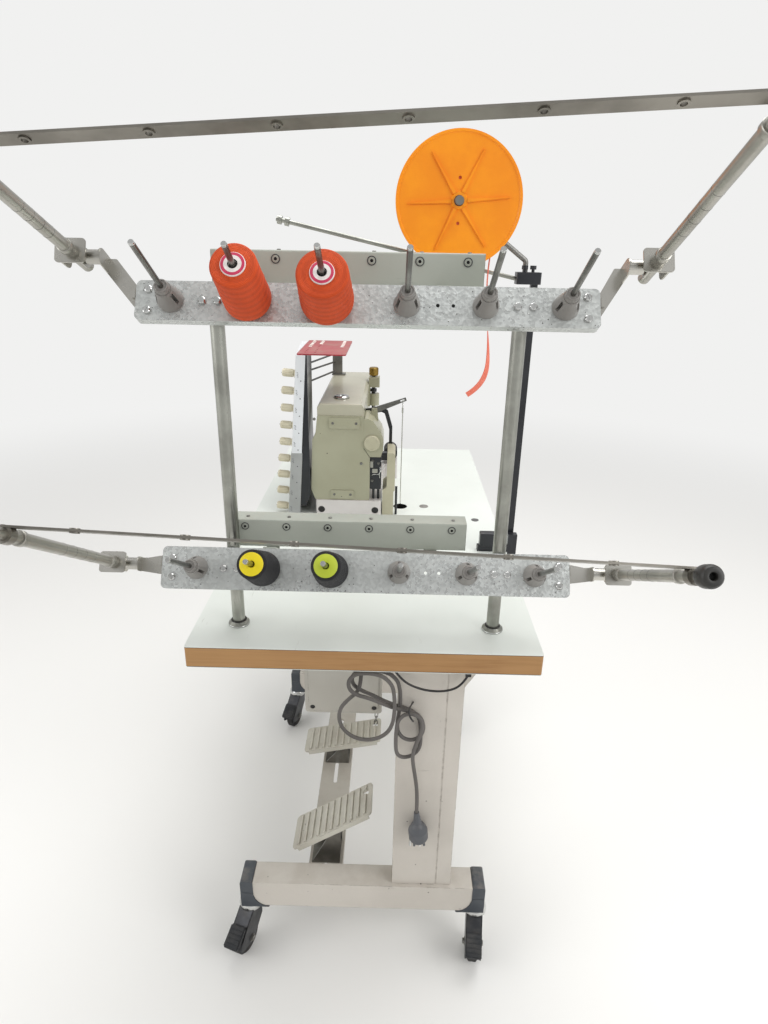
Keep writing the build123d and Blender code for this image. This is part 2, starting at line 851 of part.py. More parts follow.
def reel_column():
    """Black square column with the head block and its two knobs."""
    half = column_size / 2
    x, y = reel_column_x, reel_column_y
    column = block(x - half, x + half, y - half, y + half, top - 5, block_low)
    head = fillet(block(x - 36, x + 11, y - 14, y + 16, block_low, block_high).edges().filter_by(Axis.Z), 3)
    for knob_x in (x - 20, x - 4):
        head += rod((knob_x, y, block_high), (knob_x, y, block_high + 5), 3)
        head += rod((knob_x, y, block_high + 5), (knob_x, y, block_high + 12), 6)
    return column + head


def reel_clamp():
    """C-clamp round the table's edge, its screw and pad below, and the column's two bolts."""
    edge = table_width / 2 + running_gap
    y1 = reel_column_y - column_size / 2
    y0 = y1 - 16
    clamp = prism_y((
        (edge + 20, top + 41), (edge, top + 41), (edge, top + 12), (edge - 66, top + 12), (edge - 66, top),
        (edge, top), (edge, under - 28), (edge - 62, under - 28), (edge - 62, under - 36),
        (edge + 8, under - 36),
        (edge + 20, top - 8)), y0, y1)
    screw_x = edge - 44
    middle = (y0 + y1) / 2
    clamp -= rod((screw_x, middle, under - 40), (screw_x, middle, under - 20), 5 + running_gap)
    screw = rod((screw_x, middle, under - 66), (screw_x, middle, under - 5), 5)
    screw += rod((screw_x, middle, under - 5), (screw_x, middle, under), 11)
    screw += rod((screw_x - 20, middle, under - 62), (screw_x + 20, middle, under - 62), 3)
    pad = fillet(block(edge - 62, edge - 26, y0 - 4, y1, top + 12 + running_gap, top + 44).edges(), 3)
    made = [clamp, screw, pad]
    for z in (top + 14, top + 32):
        x = reel_column_x + column_size / 2
        made.append(rod((x, reel_column_y, z), (x + 8, reel_column_y, z), 5))
    return Compound(children=made)


def reel_rods():
    """Tape guide rod with two collars and a ring, and the bent rod that carries the reel."""
    y = reel_column_y
    end = guide_rod_end
    start = (reel_column_x - 36, end[1], block_low + 10)
    guide = rod(start, end, 4)
    line = Vector(*end) - Vector(*start)
    for share in (0.955, 0.985):
        spot = Vector(*start) + line * share
        guide += Plane(origin=spot, z_dir=line) * Cylinder(8, 8)
    foot = (reel_column_x - 18, y + 8, block_high)
    axis_y = reel_front + 2 * disc_sheet + tape_width + 1 + 12
    bend = (reel_x, axis_y, reel_z)
    neck = (foot[0], foot[1], block_high + 20)
    end = (reel_x, reel_front - 12, reel_z)
    route = FilletPolyline(foot, neck, bend, end, radius=8)
    strut = sweep(Plane(origin=foot, z_dir=(0, 0, 1)) * Circle(shaft_radius), path=route)
    strut += rod((reel_x, reel_front - 14, reel_z), (reel_x, reel_front - 5, reel_z), 8)
    return Compound(children=[guide, strut])


def reel_discs():
    """Two plastic discs with a rolled rim, six tapered ribs and holes."""
    made = []
    bore = shaft_radius + running_gap
    for number in (0, 1):
        face = -1 if number == 0 else 1
        disc = turned((
            (bore, 0), (disc_radius, 0), (disc_radius, disc_sheet + 2), (disc_radius - 4, disc_sheet + 2),
            (disc_radius - 6, disc_sheet), (16, disc_sheet), (14, disc_sheet + 3), (bore, disc_sheet + 3)))
        for rib in range(6):
            ridge = Plane.XY.offset(disc_sheet - 0.5) * outline(((14, -3.5), (84, -1), (84, 1), (14, 3.5)))
            disc += Rot(0, 0, 60 * rib + 4) * extrude(ridge, 2.5)
        for angle in (90, 270):
            disc -= Rot(0, 0, angle) * Pos(38, 0, 0) * Cylinder(3, 20)
        y = reel_front + disc_sheet if face < 0 else reel_front + disc_sheet + tape_width + 1
        made.append(Plane(origin=(reel_x, y, reel_z), x_dir=(1, 0, 0), z_dir=(0, face, 0)) * disc)
    return Compound(children=made)


def tape_roll():
    """Elastic tape wound on its core, between the discs."""
    start = reel_front + disc_sheet
    bore = shaft_radius + running_gap
    roll = turned(((bore, 0.3), (tape_roll_radius, 0.3), (tape_roll_radius, tape_width + 0.7),
                   (bore, tape_width + 0.7)))
    return Plane(origin=(reel_x, start, reel_z), x_dir=(1, 0, 0), z_dir=(0, 1, 0)) * roll


tape_points = (
    (tape_roll_radius + 0.8, 0), (tape_roll_radius + 0.8, -60), (62, -130), (66, -190), (75, -262),
    (76, -312),
    (58, -345), (38, -358))


def elastic_tape():
    """End of the elastic that hangs from the roll, as a flat band."""
    y0 = reel_front + disc_sheet + 0.5
    path = Spline(*[(reel_x + x, reel_z + z) for x, z in tape_points])
    band = trace(path, 1.2)
    return extrude(Plane.XZ.offset(-(y0 + tape_width)) * band, tape_width)


# Machine head

def machine_bed():
    """Flat bed casting with a pocket for the needle plate and a slot below it."""
    corners = (
        (bed_left, head_front - 4), (bed_right, head_front - 4), (bed_right, 890), (bed_right + 40, 890),
        (bed_right + 40, head_end + 2), (-215, head_end + 2), (-215, 850), (bed_left, 850))
    bed = prism_z(corners, top, bed_top, 6)
    bed -= plate_pocket(0)
    bed -= block(needle_x - 6, needle_x + 6, needle_y - 46, needle_y + 46, top + 10, bed_top)
    for x in (bed_left + 14, bed_right - 15):
        bed -= rod((x, head_front - 5, top + 15), (x, head_front + 12, top + 15), 8.5)
    return bed


def plate_pocket(shrink):
    """Space of the needle plate, sunk flush in the bed."""
    return block(needle_x - 48 + shrink, needle_x + 52 - shrink, needle_y - 50 + shrink,
        needle_y + 50 - shrink,
                 bed_top - 3, bed_top)


def needle_plate():
    """Steel plate with a needle slot and four feed slots."""
    plate = plate_pocket(running_gap)
    plate -= block(needle_x - 2, needle_x + 2, needle_y - 40, needle_y + 40, bed_top - 5, bed_top + 1)
    for x in (needle_x - 22, needle_x + 14):
        for y in (needle_y - 22, needle_y + 14):
            plate -= block(x, x + 12, y, y + 8, bed_top - 5, bed_top + 1)
    return plate


def arm_casting():
    """Column, arm over the work and needle head, cast in one."""
    column = prism_y((
        (arm_left - 8, bed_top), (column_right, bed_top), (column_right, top + 150), (arm_right, top + 172),
        (arm_right, arm_top), (arm_left, arm_top), (arm_left - 5, top + 207), (arm_left - 13, top + 192),
        (arm_left - 18, top + 66)), head_front, column_end, 4)
    arm = prism_y((
        (arm_left, arm_low), (arm_right, arm_low), (arm_right, arm_top), (arm_left, arm_top)),
        column_end - 20, head_end, 5)
    neck = prism_y((
        (arm_left - 11, needle_head_low), (arm_right, needle_head_low), (arm_right, arm_top - 8),
        (arm_left - 11, arm_top - 8)), needle_head_front, head_end, 8)
    casting = column + arm + neck
    haunch = prism_x(
        ((column_end - 1, arm_low + 1), (column_end - 1, arm_low - 40), (column_end + 38, arm_low + 1)),
        arm_left + 8, arm_right - 6)
    casting += haunch
    casting -= rod((needle_x, needle_y, needle_head_low - 1), (needle_x, needle_y, top + 230),
        6 + running_gap)
    casting -= rod((presser_x, needle_y, needle_head_low - 1), (presser_x, needle_y, top + 230),
        5 + running_gap)
    return casting


def top_lid():
    """Flat lid of the arm with a filler cap."""
    lid = prism_y((
        (arm_left, arm_top), (arm_right, arm_top), (arm_right, arm_top + 19), (arm_right - 7, lid_top),
        (arm_left + 7, lid_top), (arm_left, arm_top + 19)), head_front + 2, head_end - 2)
    lid = fillet(lid.edges().filter_by(Axis.X).group_by(Axis.Z)[-1], 4)
    cap = turned(((0, 0), (18.5, 0), (18.5, 4), (16, 6), (6, 6), (5, 3), (0, 3)))
    return Compound(children=[lid, Pos(arm_left + 53, head_front + 71, lid_top) * cap])


def cover_plates():
    """Screwed covers: two on the right-hand face, one on the needle head."""
    made = []
    for left, right, low, high in (
            (arm_left + 28, arm_right - 9, 221, 248), (arm_left + 30, column_right - 38, 44, 66)):
        plate = prism_y(((left, top + low), (right, top + low), (right, top + high), (left, top + high)),
                        head_front - 3, head_front, 4)
        for x in (left + 9, right - 9):
            z = top + (low + high) / 2
            plate -= rod((x, head_front - 4, z), (x, head_front - 1, z), 3)
        made.append(plate)
    face = block(arm_left - 14, arm_left - 11, needle_head_front + 8, head_end - 8,
        needle_head_low + 10, arm_top - 18)
    made.append(fillet(face.edges().filter_by(Axis.X), 8))
    return Compound(children=made)


def panel_side(height, wider=0):
    """The panel's left and right x at a height above the table; it leans outwards towards its foot."""
    share = 1 - height / (panel_top - top)
    return (panel_left - panel_lean * share - wider,
        panel_right - (panel_lean - panel_taper) * share + wider)


def knob_places():
    """Centres of the tension knobs on the panel, at its face."""
    places = []
    for row in range(knob_rows):
        height = knob_low + row * knob_pitch
        wider = 1.5 if height < panel_foot else 0
        places.append((panel_side(height, wider)[0], panel_front + 20, top + height))
    return places


def leaning(low, high, wider):
    """Outline of the leaning panel between two heights."""
    first = panel_side(low, wider)
    last = panel_side(high, wider)
    return ((first[0], top + low), (first[1], top + low), (last[1], top + high), (last[0], top + high))


def knob_plane(place):
    """A knob's seat, its normal out of the leaning face."""
    return Plane(origin=place, x_dir=(0, 1, 0), z_dir=(-(panel_top - top), 0, panel_lean))


def tension_panel():
    """Tall narrow box for the thread tensions, thicker at its foot."""
    panel = prism_y(leaning(panel_foot - 40, panel_top - top, 0), panel_front, panel_end)
    panel += prism_y(leaning(0, panel_foot, 1.5), panel_front, panel_end)
    for place in knob_places():
        panel -= knob_plane(place) * Cylinder(3, 24)
    return panel


def tension_knobs():
    """Ribbed knobs with their discs, one on each spindle."""
    made = []
    for place in knob_places():
        knob = extrude(Plane.XY.offset(3) * RegularPolygon(knob_radius - 1.5, 12), knob_length - 3)
        knob += Pos(0, 0, 1.6) * Cylinder(knob_radius, 3.2)
        knob += Pos(0, 0, -5) * Cylinder(2.8, 11)
        made.append(knob_plane(place) * knob)
    return Compound(children=made)


def thread_tray():
    """Red plate that leads the threads over the panel, with two rows of holes."""
    tray = block(panel_left + 1, tray_right, head_front - 4, head_front + 238, panel_top, panel_top + 3)
    tray = fillet(tray.edges().filter_by(Axis.Z), 6)
    for row in range(2):
        for number in range(9):
            tray -= Pos(panel_left + 18 + 22 * row, head_front + 24 + 24 * number,
                panel_top) * Cylinder(2.5, 10)
    return tray


def panel_stays():
    """Black plate behind the panel, post on the lid's far end, and three rods between them."""
    gap = running_gap
    right = back_plate_right
    low = panel_side(24, 1.5)[1] + gap
    plate = prism_y((
        (low, top + 24), (panel_side(panel_foot, 1.5)[1] + gap, top + panel_foot),
        (panel_right + gap, panel_top),
        (right, panel_top), (right, top + 194), (arm_left - 18 - gap, top + 67), (arm_left - 20, top + 50),
        (low + 14, top + 24)), panel_front + 2, panel_end - 2)
    y = head_end - 52
    post_x0 = arm_left + 4
    post = block(post_x0, post_x0 + 27, y - 9, y + 9, lid_top, lid_top + 74)
    post += block(post_x0 - 2, post_x0 + 36, y - 14, y + 14, lid_top, lid_top + 4)
    for low_z, high_z in ((290, 291), (319, 317), (338, 340)):
        post += rod((right - 4, panel_end - 12, top + low_z), (post_x0 + 6, y, top + high_z), 2.5)
    return plate + post


def rear_housing():
    """Shaft housing with its round cap and the lifter lugs, and the puller's screw bracket."""
    housing = prism_y((
        (arm_right, top + 174), (column_right, top + 152), (13, top + 152), (19, top + 170), (19, top + 196),
        (14, top + 212), (-6, top + 240), (-18, top + 246), (arm_right, top + 246)), head_front,
        head_front + 90, 3)
    for y in (lever_y - 9, lever_y + 4):
        housing += prism_y((
            (lever_x - 12, top + 232), (lever_x + 10, top + 212), (lever_x + 6, lever_z + 6),
            (lever_x - 6, lever_z + 6)), y, y + 5)
    housing += rod((lever_x, lever_y - 10, lever_z), (lever_x, lever_y + 10, lever_z), 3.5)
    cap = rod((-8, head_front - 7, top + 187), (-8, head_front, top + 187), 19)
    cap = fillet(cap.edges().group_by(Axis.Y)[0], 3)
    x, y = pressure_x, pressure_y
    bracket = block(arm_right, arm_right + 4, y - 20, y + 20, top + 210, pressure_knob_z - 3)
    ledge = block(arm_right, x + 17, y - 15, y + 15, top + 262, pressure_knob_z - 3)
    bracket += fillet(ledge.edges().filter_by(Axis.Z), 3)
    bracket += rod((x + 2, y, top + 210), (x + 2, y, top + 243), 14)
    bracket += block(arm_right, x, y - 7, y + 7, top + 210, top + 243)
    bracket -= rod((x, y, top + 200), (x, y, top + 300), 5 + running_gap)
    return Compound(children=[housing, cap, bracket])


puller_z = bed_top + roller_radius + running_gap


def drive_box():
    """Stepped gear housing that turns the puller shaft."""
    box = prism_y((
        (18.5, top), (46, top), (46, top + 62), (49, top + 66), (49, top + 156), (44, top + 161),
        (29, top + 161),
        (29, top + 74), (18.5, top + 66)), head_front + 4, head_front + 90, 2)
    box -= rod((puller_x, head_front + 60, puller_z), (puller_x, head_front + 92, puller_z), 5 + running_gap)
    return box


def drive_links():
    """Black crank block, guide bars, curved link and upright rod, and the puller's screw and yoke."""
    front = head_front + 6
    block_part = fillet(
        block(column_right, 15, front, front + 30, top + 68, top + 150).edges().filter_by(Axis.Y), 3)
    for x in (-4, 8):
        block_part += rod((x, front + 10, bed_top), (x, front + 10, top + 69), 3)
    link = prism_y((
        (arm_right, top + 234), (arm_right, top + 249), (14, top + 256), (28, top + 246), (40, top + 205),
        (40, top + 150), (32, top + 150), (32, top + 198), (20, top + 238), (12, top + 242)),
        head_front + 92, head_front + 97)
    link += block(30, 42, head_front + 90, head_front + 97, top + 140, top + 160)
    upright = rod((53, head_front + 12, top), (53, head_front + 12, top + 74), 3)
    x, y = pressure_x, pressure_y
    screw = rod((x, y, puller_z), (x, y, pressure_knob_z + 18), 5)
    screw += rod((x, y, top + 248), (x, y, top + 256), 9)
    yoke = block(x - 9, puller_x + 11, y - 10, y + 10, puller_z - 11, puller_z + 11)
    screw += fillet(yoke.edges().filter_by(Axis.Y), 6)
    screw -= rod((puller_x, y - 15, puller_z), (puller_x, y + 15, puller_z), 5 + running_gap)
    return Compound(children=[block_part, link, upright, screw])


def puller_roller():
    """Knurled roller on the shaft that comes from the drive box."""
    shaft = rod((puller_x, head_front + 62, puller_z), (puller_x, 1004, puller_z), 5)
    roller = rod((puller_x, 935, puller_z), (puller_x, 998, puller_z), roller_radius)
    roller = chamfer(roller.edges(), 1.5)
    for number in range(20):
        roller -= Plane(origin=(puller_x, 966, puller_z), z_dir=(0, 1, 0)) * Rot(0, 0, 18 * number) * block(
            roller_radius - 1.2, roller_radius + 1, -1, 1, -24, 24)
    return shaft + roller


def lifter_lever():
    """Flat tapered lever with a slotted end for the lifting wire."""
    frame = Plane(
        origin=(lever_x, lever_y, lever_z), x_dir=(cos(radians(lever_slope)), 0, sin(radians(lever_slope))),
        z_dir=(0, -1, 0))
    lever = extrude(
        frame * Polygon((-5, -7.5), (lever_reach + 8, -4), (lever_reach + 8, 4), (-5, 7.5),
        align=None), 2.5, both=True)
    lever += extrude(frame * Circle(9), 2.5, both=True)
    lever -= extrude(frame * Circle(3.5 + running_gap), 5, both=True)
    lever -= extrude(frame * Pos(lever_reach - 2, 0) * SlotOverall(11, 4.4), 5, both=True)
    return lever


def pressure_screw():
    """Brass knob on the puller's pressure screw."""
    knob = turned(((0, 0), (11, 0), (13, 3), (13, 19), (11, 22), (0, 22)))
    for number in range(16):
        knob -= Rot(0, 0, 22.5 * number) * block(12.2, 14, -1, 1, -1, 23)
    knob = Pos(pressure_x, pressure_y, pressure_knob_z) * knob
    bore = rod(
        (pressure_x, pressure_y, pressure_knob_z - 1),
        (pressure_x, pressure_y, pressure_knob_z + 18 + running_gap), 5 + running_gap)
    return knob - bore


def needle_bar():
    """Bar, clamp and twelve needles."""
    bar = rod((needle_x, needle_y, top + 90), (needle_x, needle_y, top + 190), 6)
    half = needle_pitch * (needle_count - 1) / 2
    clamp = block(needle_x - 7, needle_x + 7, needle_y - half - 7, needle_y + half + 7, top + 84, top + 98)
    bar += fillet(clamp.edges().filter_by(Axis.Z), 3)
    for number in range(needle_count):
        y = needle_y - half + number * needle_pitch
        needle = Pos(needle_x, y, top + 46) * turned(((0, 0), (0.8, 8), (0.8, 40), (0, 40)))
        bar += needle
    return bar


def presser_foot():
    """Presser bar with a wide slotted foot."""
    bar = rod((presser_x, needle_y, bed_top + 12), (presser_x, needle_y, top + 180), 5)
    low = bed_top + running_gap
    sole = block(needle_x - 20, presser_x + 10, needle_y - 44, needle_y + 44, low, low + 3.5)
    sole += prism_y(((presser_x - 8, low + 2), (presser_x + 10, low + 2), (presser_x + 7, low + 24),
                     (presser_x - 6, low + 24)), needle_y - 12, needle_y + 12)
    sole -= block(needle_x - 3, needle_x + 3, needle_y - 39, needle_y + 39, low - 1, low + 5)
    return bar + sole


def drive_motor():
    """Finned direct-drive motor on the left end of the arm."""
    start = head_end
    axis = Plane(origin=(motor_axis_x, start, motor_axis_z), z_dir=(0, 1, 0))
    body = turned(((0, 0), (50, 0), (50, 6), (46, 6), (46, 12), (50, 12), (50, 50), (44, 58), (0, 58)))
    for number in range(6):
        z = 18 + number * 5.5
        body -= turned(((47, z), (52, z), (52, z + 2.5), (47, z + 2.5)))
    body -= Pos(0, 0, 40) * Cylinder(7 + running_gap, 40, align=(Align.CENTER, Align.CENTER, Align.MIN))
    return axis * body


def handwheel():
    """Dished handwheel with a grip rim, on its shaft."""
    start = head_end + 60
    wheel = turned((
        (0, -18), (7, -18), (7, 0), (22, 0), (26, 6), (40, 6), (42, 0), (50, 0), (52, 4), (52, 18), (50, 22),
        (42, 22), (40, 14), (20, 12), (17, 20), (0, 20)))
    for number in range(20):
        wheel -= Rot(0, 0, 18 * number) * block(50.8, 54, -1.6, 1.6, 3, 19)
    return Plane(origin=(motor_axis_x, start, motor_axis_z), z_dir=(0, 1, 0)) * wheel


def all_parts():
    """Every piece by name, before the move to the origin."""
    parts = {
        "table_top": table_top(),
        "leg_right": leg("right"),
        "leg_left": leg("left"),
        "foot_caps": foot_caps(),
        "cross_beam": cross_beam(),
        "pedal_rail": pedal_rail(),
        "pedal_brackets": pedal_brackets(),
        "pedal_right": pedal("right"),
        "pedal_left": pedal("left"),
        "lift_chain": lift_chain(),
        "control_box": control_box(),
        "mains_cord": mains_cord(),
        "cord_hank": cord_hank(),
        "mains_plug": mains_plug(),
        "black_cable": black_cable(),
        "cable_clips": cable_clips(),
        "cone_posts": cone_posts(),
        "cone_decks": cone_decks(),
        "cone_seats": cone_seats(),
        "cone_pins": cone_pins(),
        "thread_cones": thread_cones(),
        "guide_rails": guide_rails(),
        "strap_brackets": strap_brackets(),
        "reel_column": reel_column(),
        "reel_clamp": reel_clamp(),
        "reel_rods": reel_rods(),
        "reel_discs": reel_discs(),
        "tape_roll": tape_roll(),
        "elastic_tape": elastic_tape(),
        "machine_bed": machine_bed(),
        "needle_plate": needle_plate(),
        "arm_casting": arm_casting(),
        "top_lid": top_lid(),
        "cover_plates": cover_plates(),
        "tension_panel": tension_panel(),
        "tension_knobs": tension_knobs(),
        "thread_tray": thread_tray(),
        "panel_stays": panel_stays(),
        "rear_housing": rear_housing(),
        "drive_box": drive_box(),
        "drive_links": drive_links(),
        "puller_roller": puller_roller(),
        "lifter_lever": lifter_lever(),
        "pressure_screw": pressure_screw(),
        "needle_bar": needle_bar(),
        "presser_foot": presser_foot(),
        "drive_motor": drive_motor(),
        "handwheel": handwheel(),
    }
    for name, x, y in caster_places():
        parts["caster_fork_" + name] = caster_fork(x, y, caster_headings[name])
        parts["caster_wheel_" + name] = caster_wheel(x, y, caster_headings[name])
    for name in frames:
        parts[name + "_frame_arms"] = frame_arms(name)
        parts[name + "_frame_strip"] = frame_strip(name)
    return parts


cord_names = ("mains_cord", "cord_hank", "mains_plug", "elastic_tape")
made = all_parts()
low_x = min(shape.bounding_box().min.X for name, shape in made.items() if name not in cord_names)
high_x = max(shape.bounding_box().max.X for name, shape in made.items() if name not in cord_names)
low_y = min(shape.bounding_box().min.Y for name, shape in made.items() if name not in cord_names)
high_y = max(shape.bounding_box().max.Y for name, shape in made.items() if name not in cord_names)
shift = (-(low_x + high_x) / 2, -(low_y + high_y) / 2, 0)
print("shift", shift)

os.makedirs("parts", exist_ok=True)
for name, shape in made.items():
    solids = [solid.translate(shift, transform=True) for solid in shape.solids()]
    export_step(solids[0] if len(solids) == 1 else Compound(solids), "parts/" + name + ".step")
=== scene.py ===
"""Multi-needle sewing machine on its stand: looks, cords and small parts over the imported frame."""
import math

import bmesh
import bpy
from mathutils import Matrix, Vector


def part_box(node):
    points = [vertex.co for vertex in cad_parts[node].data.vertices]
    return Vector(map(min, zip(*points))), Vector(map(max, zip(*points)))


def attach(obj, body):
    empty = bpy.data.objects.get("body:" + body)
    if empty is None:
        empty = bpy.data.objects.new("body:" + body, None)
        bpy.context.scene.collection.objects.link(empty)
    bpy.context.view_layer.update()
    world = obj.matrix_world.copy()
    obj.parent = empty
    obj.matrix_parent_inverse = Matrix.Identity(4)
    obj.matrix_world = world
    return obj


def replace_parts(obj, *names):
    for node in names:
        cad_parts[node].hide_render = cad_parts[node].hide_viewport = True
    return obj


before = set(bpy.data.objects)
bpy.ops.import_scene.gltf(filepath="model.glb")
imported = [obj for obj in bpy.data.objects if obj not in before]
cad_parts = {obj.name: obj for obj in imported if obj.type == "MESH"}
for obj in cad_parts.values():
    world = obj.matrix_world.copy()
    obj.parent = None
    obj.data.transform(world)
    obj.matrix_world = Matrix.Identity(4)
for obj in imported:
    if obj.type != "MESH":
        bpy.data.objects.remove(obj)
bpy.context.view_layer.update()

table_low, table_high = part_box("table_top")
near_edge = table_low.y
table_z = table_high.z
under_z = table_low.z

# Measures in mm that more than one piece uses: the table's height, the legs and the cone stand's
# posts from its near end, the reel's centre, the tension panel's height and that of its bare foot
# above the table, its two ends, and how far the far one turns aside.
TABLE = 765
LEGS = (55, 765)
POSTS = ((-224, 79), (224, 79))
REEL_X, REEL_Z = 152, 1470
PANEL_TOP, PANEL_FOOT = 392, 160
PANEL_NEAR, PANEL_FAR, PANEL_SWEEP = 592, 832, 19

# A six-sided head: its slot is too narrow to see.
HEX = {"slot_width": 0.0001, "head_sides": 6}


def at(x, y, z):
    """A point given in mm: from the table's centre line, its near end and the floor."""
    return Vector((x / 1000, near_edge + y / 1000, z / 1000))


def below(x, y, drop):
    """A point given in mm, its height from the table's underside."""
    return Vector((x / 1000, near_edge + y / 1000, under_z + drop / 1000))


def tone(code):
    """A hex colour as the linear colour that a socket takes."""
    parts = [int(code[i:i + 2], 16) / 255 for i in (0, 2, 4)]
    return tuple(v / 12.92 if v <= 0.04045 else ((v + 0.055) / 1.055) ** 2.4 for v in parts) + (1.0,)


# ---- Camera, lamps, backdrop

SENSOR, FOCAL_SHARE = 36, 658.1 / 1024
EYE = Vector((0.039, near_edge - 0.928, 1.387))
YAW_PITCH_ROLL = (-0.57, 21.84, -1.09)


def photo_camera():
    """The photograph's viewpoint, from the table's right-hand end."""
    data = bpy.data.cameras.new("photo_camera")
    data.sensor_width = SENSOR
    data.lens = FOCAL_SHARE * SENSOR
    data.clip_start, data.clip_end = 0.05, 60
    yaw, pitch, roll = (math.radians(v) for v in YAW_PITCH_ROLL)
    ahead = Vector((math.sin(yaw) * math.cos(pitch), math.cos(yaw) * math.cos(pitch), -math.sin(pitch)))
    flat = Vector((math.cos(yaw), -math.sin(yaw), 0))
    down = ahead.cross(flat)
    right = flat * math.cos(roll) + down * math.sin(roll)
    low = down * math.cos(roll) - flat * math.sin(roll)
    camera = bpy.data.objects.new("photo_camera", data)
    turn = Matrix((right, -low, -ahead)).transposed().to_4x4()
    camera.matrix_world = Matrix.Translation(EYE) @ turn
    bpy.context.scene.collection.objects.link(camera)
    bpy.context.scene.camera = camera


def lamp(name, place, aim, size, power):
    """A white square lamp that faces its aim."""
    data = bpy.data.lights.new(name, "AREA")
    data.size = size
    data.energy = power
    light = bpy.data.objects.new(name, data)
    light.location = place
    light.rotation_euler = (Vector(aim) - Vector(place)).to_track_quat("-Z", "Y").to_euler()
    bpy.context.scene.collection.objects.link(light)


class Board:
    """A node tree with short calls to add and join nodes."""

    def __init__(self, tree):
        self.tree = tree

    def feed(self, socket, value):
        if isinstance(value, bpy.types.NodeSocket):
            self.tree.links.new(value, socket)
        else:
            socket.default_value = value

    def add(self, kind, values=None, **settings):
        node = self.tree.nodes.new(kind)
        for name, value in settings.items():
            setattr(node, name, value)
        for name, value in (values or {}).items():
            self.feed(node.inputs[name], value)
        return node

    def calc(self, operation, a, b=0.0, clamp=False):
        return self.add("ShaderNodeMath", {0: a, 1: b}, operation=operation, use_clamp=clamp).outputs[0]

    def times(self, value, *others):
        for other in others:
            value = self.calc("MULTIPLY", value, other)
        return value

    def plus(self, a, b, clamp=False):
        return self.calc("ADD", a, b, clamp)

    def minus(self, a, b):
        return self.calc("SUBTRACT", a, b)

    def span(self, value, low, high, to_low=0.0, to_high=1.0):
        node = self.add(
            "ShaderNodeMapRange", {"Value": value, "From Min": low, "From Max": high, "To Min": to_low,
                                   "To Max": to_high}, interpolation_type="SMOOTHSTEP")
        return node.outputs["Result"]

    def mix(self, share, first, second, way="MIX"):
        node = self.add("ShaderNodeMix", {0: share, 6: first, 7: second}, data_type="RGBA", blend_type=way)
        return node.outputs[2]

    def blend(self, share, first, second):
        """Mixes two plain values."""
        return self.add("ShaderNodeMix", {0: share, 2: first, 3: second}, data_type="FLOAT").outputs[0]

    def shaded(self, colour, light):
        """A colour made darker or lighter by a plain value."""
        grey = self.add("ShaderNodeCombineColor", {"Red": light, "Green": light, "Blue": light}).outputs[0]
        return self.mix(1.0, colour, grey, "MULTIPLY")

    def stretched(self, vector, by):
        return self.add("ShaderNodeVectorMath", {0: vector, 1: by}, operation="MULTIPLY").outputs["Vector"]

    def xyz(self, vector):
        return self.add("ShaderNodeSeparateXYZ", {"Vector": vector}).outputs

    def noise(self, vector, scale, detail, rough=0.55):
        return self.add("ShaderNodeTexNoise", {"Vector": vector, "Scale": scale, "Detail": detail,
                                               "Roughness": rough}).outputs["Fac"]


def pale_world():
    """Even light all round; the camera itself sees a plain pale backdrop."""
    world = bpy.data.worlds.new("pale_world")
    world.use_nodes = True
    board = Board(world.node_tree)
    world.node_tree.nodes.clear()
    seen = board.add("ShaderNodeLightPath")
    shown = board.calc("MAXIMUM", seen.outputs["Is Camera Ray"], seen.outputs["Is Transmission Ray"])
    lit = board.add("ShaderNodeBackground", {"Color": (1, 1, 1, 1), "Strength": 0.6})
    plain = board.add("ShaderNodeBackground", {"Color": tone("f1f1f0"), "Strength": 1.0})
    both = board.add("ShaderNodeMixShader", {0: shown, 1: lit.outputs[0], 2: plain.outputs[0]})
    board.add("ShaderNodeOutputWorld", {"Surface": both.outputs[0]})
    bpy.context.scene.world = world


def pale_floor():
    """Plain pale floor that keeps the shadow and fades into the backdrop."""
    mesh = bpy.data.meshes.new("floor")
    reach, fade_start, fade_end = 14, 1.6, 5.0
    mesh.from_pydata([(-reach, -reach, 0), (reach, -reach, 0), (reach, reach, 0), (-reach, reach, 0)], [],
                     [(0, 1, 2, 3)])
    floor = bpy.data.objects.new("floor", mesh)
    bpy.context.scene.collection.objects.link(floor)
    material = bpy.data.materials.new("floor_paint")
    material.use_nodes = True
    board = Board(material.node_tree)
    material.node_tree.nodes.clear()
    place = board.add("ShaderNodeTexCoord").outputs["Object"]
    far = board.add("ShaderNodeVectorMath", {0: place}, operation="LENGTH").outputs["Value"]
    fade = board.span(far, fade_start, fade_end)
    seen = board.add("ShaderNodeLightPath")
    shown = board.calc("MAXIMUM", seen.outputs["Is Camera Ray"], seen.outputs["Is Glossy Ray"])
    share = board.times(fade, shown)
    matt = board.add("ShaderNodeBsdfPrincipled", {"Base Color": tone("e8e7e4"), "Roughness": 0.9})
    glow = board.add("ShaderNodeEmission", {"Color": tone("f1f1f0"), "Strength": 1.0})
    both = board.add("ShaderNodeMixShader", {0: share, 1: matt.outputs[0], 2: glow.outputs[0]})
    board.add("ShaderNodeOutputMaterial", {"Surface": both.outputs[0]})
    mesh.materials.append(material)


# ---- Effects that the finishes share

INT, FLOAT, COLOUR, VECTOR = "NodeSocketInt", "NodeSocketFloat", "NodeSocketColor", "NodeSocketVector"


def titled(name):
    """A value's name as its socket's label."""
    return name.replace("_", " ").title()


def add_inputs(tree, values):
    """Gives a tree one named input for each value, of the value's own kind."""
    for name, value in values.items():
        kind = {int: INT, float: FLOAT}.get(type(value)) or (VECTOR if len(value) == 3 else COLOUR)
        tree.interface.new_socket(titled(name), in_out="INPUT", socket_type=kind).default_value = value


